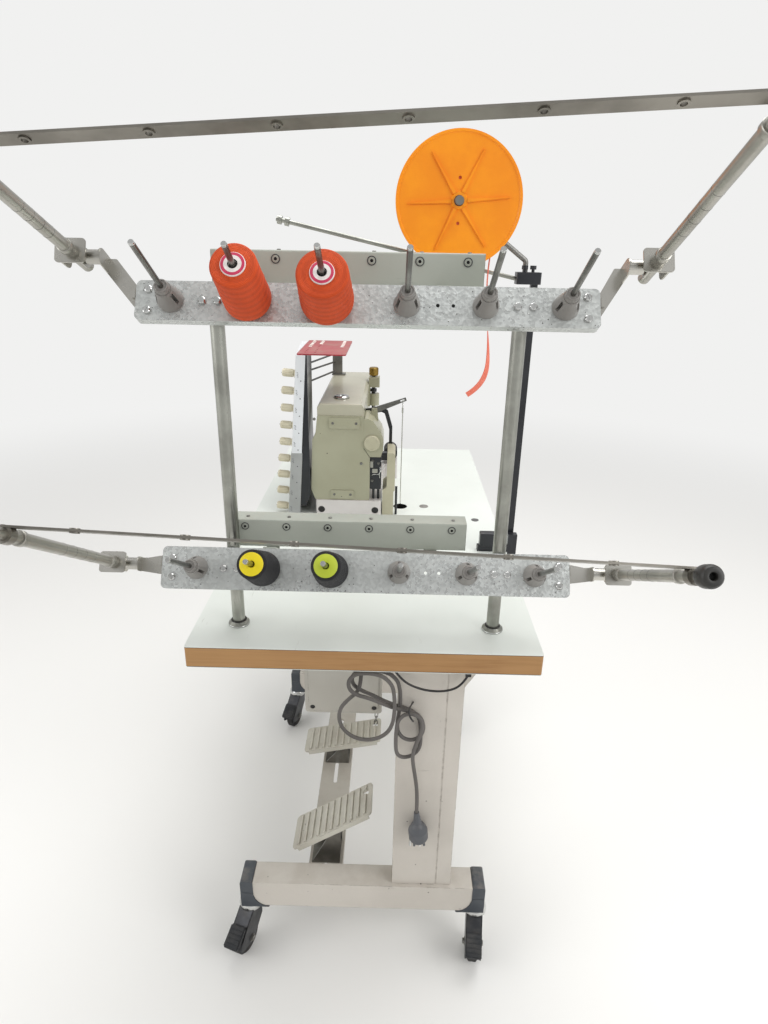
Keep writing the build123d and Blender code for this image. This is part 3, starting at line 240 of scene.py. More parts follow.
def effect(name, **own):
    """An empty shader group that takes and returns a finish so far: its colour, roughness and height."""
    tree = bpy.data.node_groups.new(name, "ShaderNodeTree")
    add_inputs(tree, dict(vector=(0, 0, 0), color=(0.8, 0.8, 0.8, 1), roughness=0.5, height=0.0, **own))
    for label, kind in (("Color", COLOUR), ("Roughness", FLOAT), ("Height", FLOAT), ("Mask", FLOAT)):
        tree.interface.new_socket(label, in_out="OUTPUT", socket_type=kind)
    board = Board(tree)
    return board, board.add("NodeGroupInput").outputs


def close_effect(board, colour, roughness, height, mask):
    """Ends an effect with what it passes on."""
    board.add("NodeGroupOutput", {"Color": colour, "Roughness": roughness, "Height": height, "Mask": mask})
    return board.tree


def overlay(board, given, mask, tint, rougher, height=None):
    """Ends an effect that lays a colour over the finish where its mask is."""
    colour = board.mix(mask, given["Color"], given[tint])
    roughness = board.plus(given["Roughness"], board.times(mask, rougher), True)
    return close_effect(board, colour, roughness, height or given["Height"], mask)


def tone_drift():
    """Slow change of colour and gloss over a surface."""
    board, given = effect("tone_drift", second_color=(0.7, 0.7, 0.7, 1), scale=4.0, amount=0.5, gloss_change=0.1)
    broad = board.noise(given["Vector"], given["Scale"], 4.0)
    mask = board.times(board.span(broad, 0.35, 0.68), given["Amount"])
    colour = board.mix(mask, given["Color"], given["Second Color"])
    shift = board.times(board.minus(broad, 0.5), given["Gloss Change"])
    return close_effect(board, colour, board.plus(given["Roughness"], shift), given["Height"], mask)


def fine_grain():
    """Small even grain, as in moulded plastic or a hammered coat."""
    board, given = effect("fine_grain", scale=600.0, depth=0.4, shade=0.06)
    grain = board.noise(given["Vector"], given["Scale"], 2.0)
    centred = board.minus(grain, 0.5)
    colour = board.shaded(given["Color"], board.plus(board.times(centred, given["Shade"]), 1.0))
    height = board.plus(given["Height"], board.times(centred, given["Depth"]))
    return close_effect(board, colour, given["Roughness"], height, grain)


def paint_chips():
    """Small spots where the coat has gone or dirt has stuck."""
    board, given = effect("paint_chips", chip_color=(0.05, 0.05, 0.05, 1), scale=40.0, size=0.12, share=0.3,
                          depth=0.6)
    cells = board.add("ShaderNodeTexVoronoi", {"Vector": given["Vector"], "Scale": given["Scale"],
                                               "Randomness": 1.0})
    ragged = board.times(board.noise(given["Vector"], 700.0, 2.0), 0.12)
    spot = board.calc("LESS_THAN", board.plus(cells.outputs["Distance"], ragged), given["Size"])
    pick = board.add("ShaderNodeSeparateColor", {"Color": cells.outputs["Color"]}).outputs["Red"]
    chosen = board.calc("LESS_THAN", pick, given["Share"])
    patch = board.span(board.noise(given["Vector"], 5.0, 2.0), 0.42, 0.55)
    mask = board.times(spot, chosen, patch)
    height = board.minus(given["Height"], board.times(mask, given["Depth"]))
    return overlay(board, given, mask, "Chip Color", 0.2, height)


def edge_wear():
    """Coat rubbed thin along outer edges."""
    board, given = effect("edge_wear", bare_color=(0.3, 0.3, 0.3, 1), radius=0.002, amount=0.6)
    soft = board.add("ShaderNodeBevel", {"Radius": given["Radius"]}, samples=4).outputs["Normal"]
    true = board.add("ShaderNodeNewGeometry").outputs["True Normal"]
    agree = board.add("ShaderNodeVectorMath", {0: soft, 1: true}, operation="DOT_PRODUCT").outputs["Value"]
    edge = board.span(board.minus(1.0, agree), 0.02, 0.16)
    broken = board.span(board.noise(given["Vector"], 55.0, 5.0), 0.42, 0.6)
    return overlay(board, given, board.times(edge, broken, given["Amount"]), "Bare Color", -0.12)


def settled_dust():
    """Lint and dust on faces that look up."""
    board, given = effect("settled_dust", dust_color=(0.5, 0.48, 0.44, 1), scale=30.0, amount=0.4)
    flat = board.span(board.xyz(board.add("ShaderNodeNewGeometry").outputs["Normal"])["Z"], 0.4, 0.95)
    cloud = board.span(board.noise(given["Vector"], given["Scale"], 6.0, 0.65), 0.35, 0.75)
    return overlay(board, given, board.times(flat, cloud, given["Amount"]), "Dust Color", 0.4)


def brushed_lines():
    """Fine drawn lines of turned or drawn metal, long along one axis."""
    board, given = effect("brushed_lines", stretch=(1.0, 1.0, 0.05), scale=900.0, shade=0.12, depth=0.2)
    line = board.noise(board.stretched(given["Vector"], given["Stretch"]), given["Scale"], 3.0)
    centred = board.minus(line, 0.5)
    colour = board.shaded(given["Color"], board.plus(board.times(centred, given["Shade"]), 1.0))
    roughness = board.plus(given["Roughness"], board.times(centred, 0.25), True)
    height = board.plus(given["Height"], board.times(centred, given["Depth"]))
    return close_effect(board, colour, roughness, height, line)


def scuff_marks():
    """Thin scratches and rubbed streaks in one direction."""
    board, given = effect("scuff_marks", mark_color=(0.1, 0.1, 0.1, 1), stretch=(1, 1, 12), scale=14.0, amount=0.4)
    along = board.stretched(given["Vector"], given["Stretch"])
    thin = board.span(board.noise(along, given["Scale"], 6.0, 0.7), 0.62, 0.72)
    patch = board.span(board.noise(given["Vector"], 7.0, 2.0), 0.45, 0.62)
    return overlay(board, given, board.times(thin, patch, given["Amount"]), "Mark Color", 0.25)


def wood_grain():
    """Beech: fine dark pores and slow bands along the edge."""
    board, given = effect("wood_grain", dark_color=(0.2, 0.1, 0.05, 1), stretch=(1, 1, 1), amount=0.6)
    along = board.stretched(given["Vector"], given["Stretch"])
    band = board.span(board.noise(along, 26.0, 5.0, 0.6), 0.4, 0.7)
    pore = board.span(board.noise(along, 160.0, 3.0), 0.55, 0.75)
    mask = board.calc("MULTIPLY", board.plus(band, board.times(pore, 0.5)), given["Amount"], True)
    colour = board.mix(mask, given["Color"], given["Dark Color"])
    return close_effect(board, colour, given["Roughness"], board.minus(given["Height"], board.times(pore, 0.3)), mask)


EFFECTS = {make.__name__: make() for make in (
    tone_drift, fine_grain, paint_chips, edge_wear, settled_dust, brushed_lines, scuff_marks, wood_grain)}


def start_finish(name):
    """An empty material, its node board and the place on the object."""
    material = bpy.data.materials.new(name)
    material.use_nodes = True
    material.node_tree.nodes.clear()
    board = Board(material.node_tree)
    return material, board, board.add("ShaderNodeTexCoord").outputs["Object"]


def dress(board, vector, colour, roughness, layers, height=0.0):
    """Passes a finish through its effects in turn."""
    for kind, values in layers:
        group = board.add("ShaderNodeGroup")
        group.node_tree = EFFECTS[kind]
        for label, value in dict(values, Vector=vector, Color=colour, Roughness=roughness, Height=height).items():
            board.feed(group.inputs[label], tone(value) if isinstance(value, str) else value)
        colour, roughness, height = (group.outputs[label] for label in ("Color", "Roughness", "Height"))
    return colour, roughness, height


def end_finish(board, colour, roughness, height, metallic=0.0, coat=0.0, relief=0.15, step=0.0004):
    """Joins a finish to the shader; its height becomes relief of a small step."""
    shader = board.add("ShaderNodeBsdfPrincipled", {"Base Color": colour, "Roughness": roughness,
                                                    "Metallic": metallic, "Coat Weight": coat,
                                                    "Coat Roughness": 0.12, "IOR": 1.45})
    bump = board.add("ShaderNodeBump", {"Strength": relief, "Distance": step, "Height": height})
    board.feed(shader.inputs["Normal"], bump.outputs["Normal"])
    board.add("ShaderNodeOutputMaterial", {"Surface": shader.outputs[0]})


def finish(name, colour, roughness, layers, **ending):
    """A finish made of one colour and a few shared effects."""
    material, board, vector = start_finish(name)
    parts = dress(board, vector, tone(colour), roughness, layers)
    end_finish(board, *parts, **ending)
    return material


def laminate_finish():
    """White laminate above and below, beech edge between, a thin dark glue line where they meet."""
    material, board, vector = start_finish("laminate_and_beech")
    facing_up = board.xyz(board.add("ShaderNodeNewGeometry").outputs["True Normal"])["Z"]
    level = board.calc("GREATER_THAN", board.calc("ABSOLUTE", facing_up), 0.5)
    from_middle = board.calc("ABSOLUTE", board.minus(board.xyz(vector)["Z"], (table_z + under_z) / 2))
    half, sheet_edge, glue_edge = (table_z - under_z) / 2, 0.0011, 0.0021
    rim = board.calc("MAXIMUM", level, board.calc("GREATER_THAN", from_middle, half - sheet_edge))
    glue = board.times(board.calc("GREATER_THAN", from_middle, half - glue_edge), board.minus(1.0, rim))
    sheet = dress(board, vector, tone("dfe3dd"), 0.34, (
        ("tone_drift", {"Second Color": "d2d6cf", "Scale": 3.0, "Amount": 0.5, "Gloss Change": 0.2}),
        ("scuff_marks", {"Mark Color": "a8a79c", "Stretch": (9, 1, 1), "Scale": 20.0, "Amount": 0.35}),
        ("paint_chips", {"Chip Color": "5c574d", "Scale": 34.0, "Size": 0.1, "Share": 0.2, "Depth": 0.2})))
    wood = dress(board, vector, tone("a67c4c"), 0.46, (
        ("wood_grain", {"Dark Color": "875c30", "Stretch": (0.25, 0.25, 6.0), "Amount": 0.55}),
        ("tone_drift", {"Second Color": "b48a58", "Scale": 5.0, "Amount": 0.5, "Gloss Change": 0.1}),
        ("edge_wear", {"Bare Color": "7a5533", "Radius": 0.003, "Amount": 0.7})))
    edge = board.mix(glue, wood[0], tone("4a3524"))
    colour = board.mix(rim, edge, sheet[0])
    roughness, height = board.blend(rim, wood[1], sheet[1]), board.blend(rim, wood[2], sheet[2])
    end_finish(board, colour, roughness, height, coat=0.1, relief=0.2)
    return material


def panel_finish():
    """White enamel on the tension panel, bare grey sheet round its foot."""
    material, board, vector = start_finish("panel_enamel")
    upper = board.calc("GREATER_THAN", board.xyz(vector)["Z"], table_z + PANEL_FOOT / 1000)
    white = dress(board, vector, tone("e0e3e6"), 0.36, (
        ("tone_drift", {"Second Color": "cfd1d2", "Scale": 9.0, "Amount": 0.5, "Gloss Change": 0.1}),
        ("edge_wear", {"Bare Color": "8d8f8e", "Radius": 0.0015, "Amount": 0.6})))
    bare = dress(board, vector, tone("a5a7a6"), 0.42, (
        ("brushed_lines", {"Stretch": (1.0, 1.0, 0.06), "Scale": 500.0, "Shade": 0.14, "Depth": 0.2}),
        ("tone_drift", {"Second Color": "8b8c88", "Scale": 14.0, "Amount": 0.5, "Gloss Change": 0.2}),
        ("edge_wear", {"Bare Color": "c9cac8", "Radius": 0.0015, "Amount": 0.6})))
    colour = board.mix(upper, bare[0], white[0])
    end_finish(board, colour, board.blend(upper, bare[1], white[1]), white[2])
    return material


def paint(name, colour, second, chips, wear="6f675e", dust=0.35, roughness=0.42, **more):
    """A sprayed coat with drift, chips, worn edges and dust."""
    return finish(name, colour, roughness, (
        ("tone_drift", {"Second Color": second, "Scale": 4.0, "Amount": 0.7, "Gloss Change": 0.15}),
        ("fine_grain", {"Scale": 260.0, "Depth": 0.5, "Shade": 0.05}),
        ("scuff_marks", {"Mark Color": wear, "Stretch": (1, 1, 7), "Scale": 12.0, "Amount": 0.35}),
        ("paint_chips", {"Chip Color": "2b2723", "Scale": 60.0, "Size": 0.14, "Share": chips, "Depth": 0.6}),
        ("edge_wear", {"Bare Color": wear, "Radius": 0.0025, "Amount": 0.7}),
        ("settled_dust", {"Dust Color": "a79d90", "Scale": 24.0, "Amount": dust})), **more)


def metal(name, colour, roughness, stain, dark="55524d"):
    """Bare or plated metal with drawn lines and a little tarnish."""
    return finish(name, colour, roughness, (
        ("brushed_lines", {"Stretch": (1.0, 1.0, 0.06), "Scale": 700.0, "Shade": 0.16, "Depth": 0.25}),
        ("tone_drift", {"Second Color": dark, "Scale": 18.0, "Amount": stain, "Gloss Change": 0.3}),
        ("settled_dust", {"Dust Color": "8f877b", "Scale": 40.0, "Amount": 0.2})), metallic=1.0)


def plated(name, colour, roughness, dark="6c6a64", stain=0.3, **more):
    """Smooth satin plating, a little tarnished and rubbed."""
    return finish(name, colour, roughness, (
        ("tone_drift", {"Second Color": dark, "Scale": 14.0, "Amount": stain, "Gloss Change": 0.25}),
        ("scuff_marks", {"Mark Color": "8d8a84", "Stretch": (1, 6, 6), "Scale": 30.0, "Amount": 0.2}),
        ("settled_dust", {"Dust Color": "8f877b", "Scale": 40.0, "Amount": 0.15})), metallic=1.0, **more)


def plastic(name, colour, second, roughness=0.45, grain=0.5, dust=0.3):
    """Moulded plastic with a fine grain."""
    return finish(name, colour, roughness, (
        ("tone_drift", {"Second Color": second, "Scale": 14.0, "Amount": 0.6, "Gloss Change": 0.12}),
        ("fine_grain", {"Scale": 900.0, "Depth": grain, "Shade": 0.07}),
        ("edge_wear", {"Bare Color": second, "Radius": 0.0015, "Amount": 0.5}),
        ("settled_dust", {"Dust Color": "9a9287", "Scale": 45.0, "Amount": dust})))


def hammered_zinc():
    """Galvanised deck sheet: small bright flakes, a hammered surface and dark specks."""
    material, board, vector = start_finish("hammered_zinc")
    flake = board.add("ShaderNodeTexVoronoi", {"Vector": vector, "Scale": 240.0})
    grey = board.add("ShaderNodeSeparateColor", {"Color": flake.outputs["Color"]}).outputs["Red"]
    colour = board.shaded(tone("c8cbc9"), board.span(grey, 0.0, 1.0, 0.88, 1.1))
    ripple = board.noise(vector, 190.0, 3.0)
    dent = board.plus(board.times(flake.outputs["Distance"], 0.5), board.times(ripple, 1.6))
    parts = dress(board, vector, colour, board.span(grey, 0.0, 1.0, 0.26, 0.42), (
        ("tone_drift", {"Second Color": "aeb1ad", "Scale": 9.0, "Amount": 0.35, "Gloss Change": 0.25}),
        ("scuff_marks", {"Mark Color": "8d8f8c", "Stretch": (9, 1, 1), "Scale": 24.0, "Amount": 0.3}),
        ("paint_chips", {"Chip Color": "3d3b38", "Scale": 150.0, "Size": 0.2, "Share": 0.35, "Depth": 0.2}),
        ("edge_wear", {"Bare Color": "8b8985", "Radius": 0.002, "Amount": 0.4}),
        ("settled_dust", {"Dust Color": "a8a49c", "Scale": 30.0, "Amount": 0.15})), dent)
    end_finish(board, *parts, metallic=0.5, relief=0.45, step=0.0008)
    return material


def wound_thread(name, colour, shadow):
    """Thread wound crosswise on a cone; the UV map runs round it and along it."""
    material, board, vector = start_finish(name)
    place = board.xyz(board.add("ShaderNodeUVMap", uv_map="winding").outputs["UV"])
    strands = []
    wobble = board.times(board.noise(vector, 60.0, 2.0), 1.2)
    for lean in (9.0, -9.0):
        run = board.plus(board.times(place["Y"], 120.0), board.times(place["X"], lean))
        wave = board.calc("SINE", board.times(board.plus(run, wobble), 2 * math.pi))
        strands.append(board.plus(board.times(wave, 0.5), 0.5))
    layer = board.calc("SINE", board.times(board.plus(board.times(place["Y"], 17.0), place["X"]), 2 * math.pi))
    height = board.plus(board.blend(board.span(layer, -0.3, 0.3), *strands), board.times(layer, 0.3))
    colour = board.mix(board.span(height, -0.2, 1.1, 0.75, 0.0), tone(colour), tone(shadow))
    parts = dress(board, vector, colour, 0.72, (
        ("tone_drift", {"Second Color": shadow, "Scale": 22.0, "Amount": 0.25, "Gloss Change": 0.1}),
        ("settled_dust", {"Dust Color": "b8a58c", "Scale": 60.0, "Amount": 0.08})), height)
    end_finish(board, *parts, relief=0.8, step=0.0007)
    return material


def woven_tape():
    """Coral elastic with a rib along it; the UV map runs across and along the band."""
    material, board, vector = start_finish("woven_elastic")
    place = board.xyz(board.add("ShaderNodeUVMap", uv_map="weave").outputs["UV"])
    rib, knit = (board.calc("ABSOLUTE", board.calc("SINE", board.times(place[axis], often)))
                 for axis, often in (("X", 9 * math.pi), ("Y", 1400.0)))
    height = board.plus(rib, board.times(knit, 0.6))
    # Painted shade: the band is darker in the low parts of its rib and knit.
    colour = board.mix(board.span(height, 0.1, 1.0, 0.8, 0.0), tone("f4826c"), tone("c9543f"))
    parts = dress(board, vector, colour, 0.82, (
        ("tone_drift", {"Second Color": "f59a86", "Scale": 30.0, "Amount": 0.4, "Gloss Change": 0.05}),), height)
    end_finish(board, *parts, relief=0.5)
    return material


FINISH = {
    "laminate": laminate_finish(),
    "stand": paint("stand_paint", "cbc5bc", "b8b2a9", chips=0.45),
    "box": paint("box_paint", "c2bfb7", "b0aca2", chips=0.12, dust=0.3),
    "rail": paint("rail_paint", "bdb8af", "a7a197", chips=0.3),
    "pedal": paint("pedal_paint", "c9c6ba", "aaa498", chips=0.3, wear="7b756b", dust=0.5),
    # The strips' plating is darker than the clips': plating with a painted reflection of dark surroundings.
    "strip": plated("strip_plating_with_painted_reflection", "938f87", 0.36, dark="55524b", stain=0.4, relief=0.1),
    "clip": plated("clip_plating", "c4c2bb", 0.27, relief=0.1),
    "lid": paint("lid_enamel", "b8b5a3", "a7a490", chips=0.1, wear="8b8772", dust=0.12, roughness=0.3, coat=0.3),
    # The head's enamel is darker than the lid's: partly its own colour, partly painted shade on the casting's faces.
    "head": paint("head_enamel_with_painted_shade", "a8a790", "98967e", chips=0.1, wear="8b8772", dust=0.15, roughness=0.3, coat=0.3),
    "bed": paint("bed_enamel", "d6d2cf", "c3bebb", chips=0.18, wear="8a8478", dust=0.2, roughness=0.32, coat=0.25),
    "panel": panel_finish(),
    "guide": paint("guide_enamel", "a9ada3", "969a8f", chips=0.12, wear="72756d", dust=0.2),
    "tray": paint("tray_enamel", "a8383f", "932f36", chips=0.15, wear="5e2226", dust=0.45, roughness=0.35),
    "zinc": hammered_zinc(),
    "post": metal("post_plating", "a9aaa2", 0.34, stain=0.4),
    "bright": metal("bright_plating", "d4d5d3", 0.18, stain=0.2),
    "dull": metal("dull_steel", "8d8c88", 0.42, stain=0.5),
    "nickel": plated("satin_nickel", "b4b2aa", 0.36, relief=0.1),
    "brass": metal("brass", "b3924a", 0.32, dark="6d5c33", stain=0.5),
    "black_steel": finish("black_steel", "191b20", 0.32, (
        ("tone_drift", {"Second Color": "2b2d32", "Scale": 12.0, "Amount": 0.5, "Gloss Change": 0.2}),
        ("edge_wear", {"Bare Color": "6c6a66", "Radius": 0.0015, "Amount": 0.5}),
        ("settled_dust", {"Dust Color": "70695f", "Scale": 40.0, "Amount": 0.2})), coat=0.2),
    "cap": plastic("cap_plastic", "3c4147", "52565a", dust=0.35),
    "rubber": plastic("wheel_rubber", "232325", "383736", roughness=0.7, dust=0.4),
    "seat": plastic("seat_plastic", "8e8b87", "7a7773", roughness=0.36),
    "black": plastic("black_plastic", "1d1d1f", "36342f", roughness=0.38, dust=0.2),
    "cream": plastic("cream_plastic", "d9d3bd", "c4bca2", roughness=0.4),
    "beige": plastic("beige_plastic", "b4b098", "a19c83", roughness=0.42),
    "reel": plastic("reel_plastic", "fb9a12", "ee860a", roughness=0.36, dust=0.08),
    "cord": plastic("cord_grey", "625e5b", "514e4b", roughness=0.55, grain=0.3, dust=0.3),
    "cable": plastic("cable_black", "232224", "3a3837", roughness=0.5, grain=0.3),
    "plug": plastic("plug_plastic", "5a5c60", "494b4f", roughness=0.42),
    "orange_thread": wound_thread("orange_thread", "e5551b", "b23a0c"),
    "black_thread": wound_thread("black_thread", "2a2a2e", "0e0e10"),
    "yellow_hub": plastic("yellow_hub", "ecd81c", "d9c312", roughness=0.4, dust=0.05),
    "lime_hub": plastic("lime_hub", "bcca3c", "a6b42c", roughness=0.4, dust=0.05),
    "label": plastic("label_paper", "ece6e2", "dccfcd", roughness=0.7, dust=0.1),
    "label_rim": plastic("label_rim", "c8385c", "b0284c", roughness=0.6, dust=0.1),
    "dark_steel": metal("dark_steel", "8a8985", 0.32, dark="4a4946", stain=0.5),
    "fork": metal("fork_steel", "5b5c5f", 0.36, dark="2e2f31", stain=0.6),
    "porcelain": plastic("white_porcelain", "f0efe8", "e2e0d8", roughness=0.2, grain=0.1, dust=0.1),
    "brake": plastic("brake_rubber", "1f2124", "2e3033", roughness=0.6, dust=0.12),
    "tape": woven_tape(),
    "hole": plastic("hole_shadow", "0c0c0c", "141414", roughness=0.9, dust=0.0),
    "ink": plastic("scale_ink", "3c3d40", "55565a", roughness=0.6, dust=0.0),
}

NODE_FINISH = {
    "laminate": ("table_top",),
    "stand": ("leg_right", "leg_left", "cross_beam"),
    "cap": ("foot_caps",),
    "dull": ("needle_plate", "pedal_brackets"),
    "rubber": ("caster_wheel_right_front", "caster_wheel_right_rear", "caster_wheel_left_front",
               "caster_wheel_left_rear", "puller_roller"),
    "rail": ("pedal_rail",),
    "pedal": ("pedal_right", "pedal_left"),
    "box": ("control_box",),
    "plug": ("mains_plug",),
    "black": ("cable_clips",),
    "post": ("cone_posts",),
    "dark_steel": ("cone_pins", "lifter_lever"),
    "zinc": ("cone_decks",),
    "seat": ("cone_seats",),
    "strip": ("upper_frame_strip", "lower_frame_strip"),
    "black_steel": ("reel_column", "reel_clamp", "drive_motor", "handwheel", "drive_links"),
    "bright": ("needle_bar", "presser_foot"),
    "reel": ("reel_discs",),
    "tape": ("tape_roll",),
    "bed": ("machine_bed",),
    "head": ("arm_casting", "cover_plates"),
    "tray": ("thread_tray",),
    "brass": ("pressure_screw",),
    "beige": ("drive_box",),
}


def dress_nodes():
    """Gives each carried-over solid its finish."""
    for key, names in NODE_FINISH.items():
        for name in names:
            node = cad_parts[name]
            node.data.materials.clear()
            node.data.materials.append(FINISH[key])


# ---- Meshes by hand

def mesh_piece(name, work, material, body="stand", crease=30):
    """A finished piece from a bmesh, shaded smooth up to its sharp edges."""
    for face in work.faces:
        face.smooth = True
    for edge in work.edges:
        edge.smooth = len(edge.link_faces) == 2 and edge.calc_face_angle(0) < math.radians(crease)
    mesh = bpy.data.meshes.new(name)
    work.to_mesh(mesh)
    work.free()
    mesh.materials.append(material)
    piece = bpy.data.objects.new(name, mesh)
    bpy.context.scene.collection.objects.link(piece)
    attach(piece, body)
    return piece


def add_piece(name, parts, material, body="stand", crease=30, stands_for=None):
    """One finished piece from its parts, and the node that it stands for."""
    work = joined(parts) if isinstance(parts, list) else parts
    piece = mesh_piece(name, work, FINISH[material], body, crease)
    if stands_for:
        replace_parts(piece, stands_for)
    return piece


def islands(node):
    """A node's solids as separate merged meshes, in the order of their first points."""
    whole = bmesh.new()
    whole.from_mesh(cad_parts[node].data)
    bmesh.ops.remove_doubles(whole, verts=whole.verts, dist=2e-6)
    taken, found = set(), []
    for seed in whole.verts:
        if seed in taken:
            continue
        taken.add(seed)
        order = [seed]
        for vert in order:
            for edge in vert.link_edges:
                other = edge.other_vert(vert)
                if other not in taken:
                    taken.add(other)
                    order.append(other)
        part = bmesh.new()
        made = {vert: part.verts.new(vert.co) for vert in order}
        for face in dict.fromkeys(face for vert in order for face in vert.link_faces):
            part.faces.new([made[vert] for vert in face.verts])
        part.normal_update()
        found.append(part)
    whole.free()
    return found


def lathe(profile, place, turn, steps, uv=None, hollow=False):
    """A closed turned form in mm: its profile runs from pole to pole, or round a ring when hollow."""
    work, on_axis = bmesh.new(), 1e-7
    profile = [(radius / 1000, height / 1000) for radius, height in profile]
    if hollow:
        profile.append(profile[0])
    rings = []
    for radius, height in profile:
        if radius < on_axis:
            rings.append([work.verts.new(place + turn @ Vector((0, 0, height)))])
            continue
        ring = []
        for number in range(steps):
            angle = 2 * math.pi * number / steps
            spot = Vector((radius * math.cos(angle), radius * math.sin(angle), height))
            ring.append(work.verts.new(place + turn @ spot))
        rings.append(ring)
    if hollow:
        for vert in rings[-1]:
            work.verts.remove(vert)
        rings[-1] = rings[0]
    layer = work.loops.layers.uv.new(uv) if uv else None
    length = [0.0]
    for (r0, h0), (r1, h1) in zip(profile, profile[1:]):
        length.append(length[-1] + math.hypot(r1 - r0, h1 - h0))
    for row, (low, high) in enumerate(zip(rings, rings[1:])):
        for number in range(steps):
            after = (number + 1) % steps
            corners = []
            if len(low) > 1:
                corners += [(low[number], number, row), (low[after], number + 1, row)]
            else:
                corners += [(low[0], number + 0.5, row)]
            if len(high) > 1:
                corners += [(high[after], number + 1, row + 1), (high[number], number, row + 1)]
            else:
                corners += [(high[0], number + 0.5, row + 1)]
            face = work.faces.new([corner[0] for corner in corners])
            if layer:
                for loop, corner in zip(face.loops, corners):
                    loop[layer].uv = (corner[1] / steps, length[corner[2]] / length[-1])
    work.normal_update()
    bmesh.ops.recalc_face_normals(work, faces=work.faces)
    return work


# ---- Trees that make what repeats

GEOMETRY, MATERIAL = "NodeSocketGeometry", "NodeSocketMaterial"


def growth(name, **own):
    """An empty geometry tree with its named sizes."""
    tree = bpy.data.node_groups.new(name, "GeometryNodeTree")
    tree.interface.new_socket("Geometry", in_out="INPUT", socket_type=GEOMETRY)
    add_inputs(tree, own)
    tree.interface.new_socket("Material", in_out="INPUT", socket_type=MATERIAL)
    tree.interface.new_socket("Geometry", in_out="OUTPUT", socket_type=GEOMETRY)
    board = Board(tree)
    return board, board.add("NodeGroupInput").outputs


def stub(board, low, high, tall, sides):
    """A short turned part that stands on its own origin."""
    return board.add("GeometryNodeMeshCone", {"Vertices": sides, "Radius Bottom": low, "Radius Top": high,
                                              "Depth": tall}).outputs["Mesh"]


def block(board, x, y, z):
    """A box round its own origin."""
    size = board.add("ShaderNodeCombineXYZ", {"X": x, "Y": y, "Z": z}).outputs[0]
    return board.add("GeometryNodeMeshCube", {"Size": size}).outputs["Mesh"]


def circle(board, radius, resolution):
    """A round curve about its own origin."""
    return board.add("GeometryNodeCurvePrimitiveCircle", {"Resolution": resolution, "Radius": radius}).outputs[0]


def round_wire(board, path, radius, resolution):
    """Wire of round section along a path."""
    section = circle(board, radius, resolution)
    return board.add("GeometryNodeCurveToMesh", {"Curve": path, "Profile Curve": section}).outputs[0]


def lifted(board, mesh, rise):
    """A part moved up its own axis."""
    offset = board.add("ShaderNodeCombineXYZ", {"Z": rise}).outputs[0]
    return board.add("GeometryNodeTransform", {"Geometry": mesh, "Translation": offset}).outputs[0]


def together(board, *meshes):
    """Parts joined to one."""
    node = board.add("GeometryNodeJoinGeometry")
    for mesh in meshes:
        board.feed(node.inputs[0], mesh)
    return node.outputs[0]


def aimed(board, aim, spin):
    """A rotation that points Z along the aim, after a turn about its own axis."""
    turn = board.add("FunctionNodeAlignRotationToVector", {"Vector": aim}, axis="Z").outputs["Rotation"]
    own = board.add("ShaderNodeCombineXYZ", {"Z": spin}).outputs[0]
    own = board.add("FunctionNodeEulerToRotation", {"Euler": own}).outputs["Rotation"]
    return board.add("FunctionNodeRotateRotation", {"Rotation": turn, "Rotate By": own},
                     rotation_space="LOCAL").outputs["Rotation"]


def finish_growth(board, given, copies):
    """Makes the copies real and gives them the material."""
    real = board.add("GeometryNodeRealizeInstances", {"Geometry": copies}).outputs[0]
    done = board.add("GeometryNodeSetMaterial", {"Geometry": real, "Material": given["Material"]}).outputs[0]
    board.add("NodeGroupOutput", {0: done})
    return board.tree


def at_every_point(board, given, mesh):
    """Sets a part at each point, along the point's aim and turned by its spin."""
    aim, spin = (board.add("GeometryNodeInputNamedAttribute", {"Name": name}, data_type=kind).outputs["Attribute"]
                 for name, kind in (("aim", "FLOAT_VECTOR"), ("spin", "FLOAT")))
    copies = board.add("GeometryNodeInstanceOnPoints", {"Points": given["Geometry"], "Instance": mesh,
                                                        "Rotation": aimed(board, aim, spin)})
    return finish_growth(board, given, copies.outputs[0])


def screw_head():
    """Washer and crowned head with a driver slot."""
    board, given = growth("screw_head", washer_radius=0.0064, washer_height=0.001, head_radius=0.0052,
                          head_height=0.003, slot_width=0.001, head_sides=24)
    wide, radius, tall = given["Washer Radius"], given["Head Radius"], given["Head Height"]
    sides = given["Head Sides"]
    washer = stub(board, wide, wide, given["Washer Height"], 24)
    wall = board.times(tall, 0.7)
    low = stub(board, radius, radius, wall, sides)
    high = lifted(board, stub(board, radius, board.times(radius, 0.78), board.times(tall, 0.3), sides), wall)
    cutter = lifted(board, block(board, board.times(radius, 3.0), given["Slot Width"], tall), board.times(tall, 1.15))
    cut = board.add("GeometryNodeMeshBoolean", {"Mesh 1": high}, operation="DIFFERENCE", solver="EXACT")
    board.feed(cut.inputs["Mesh 2"], cutter)
    head = lifted(board, together(board, low, cut.outputs["Mesh"]), given["Washer Height"])
    return at_every_point(board, given, together(board, washer, head))


def plain_stud():
    """Low turned button: a foot and a narrower crown."""
    board, given = growth("plain_stud", foot_radius=0.01, foot_height=0.001, crown_radius=0.008,
                          crown_height=0.002, sides=32)
    foot = stub(board, given["Foot Radius"], given["Foot Radius"], given["Foot Height"], given["Sides"])
    top = board.times(given["Crown Radius"], 0.86)
    crown = stub(board, given["Crown Radius"], top, given["Crown Height"], given["Sides"])
    return at_every_point(board, given, together(board, foot, lifted(board, crown, given["Foot Height"])))


def wire_ring():
    """Round ring of wire, as an eyelet's rim, a collar or a porcelain eye."""
    board, given = growth("wire_ring", ring_radius=0.006, wire_radius=0.001, ring_lift=0.0)
    ring = round_wire(board, circle(board, given["Ring Radius"], 28), given["Wire Radius"], 10)
    return at_every_point(board, given, lifted(board, ring, given["Ring Lift"]))


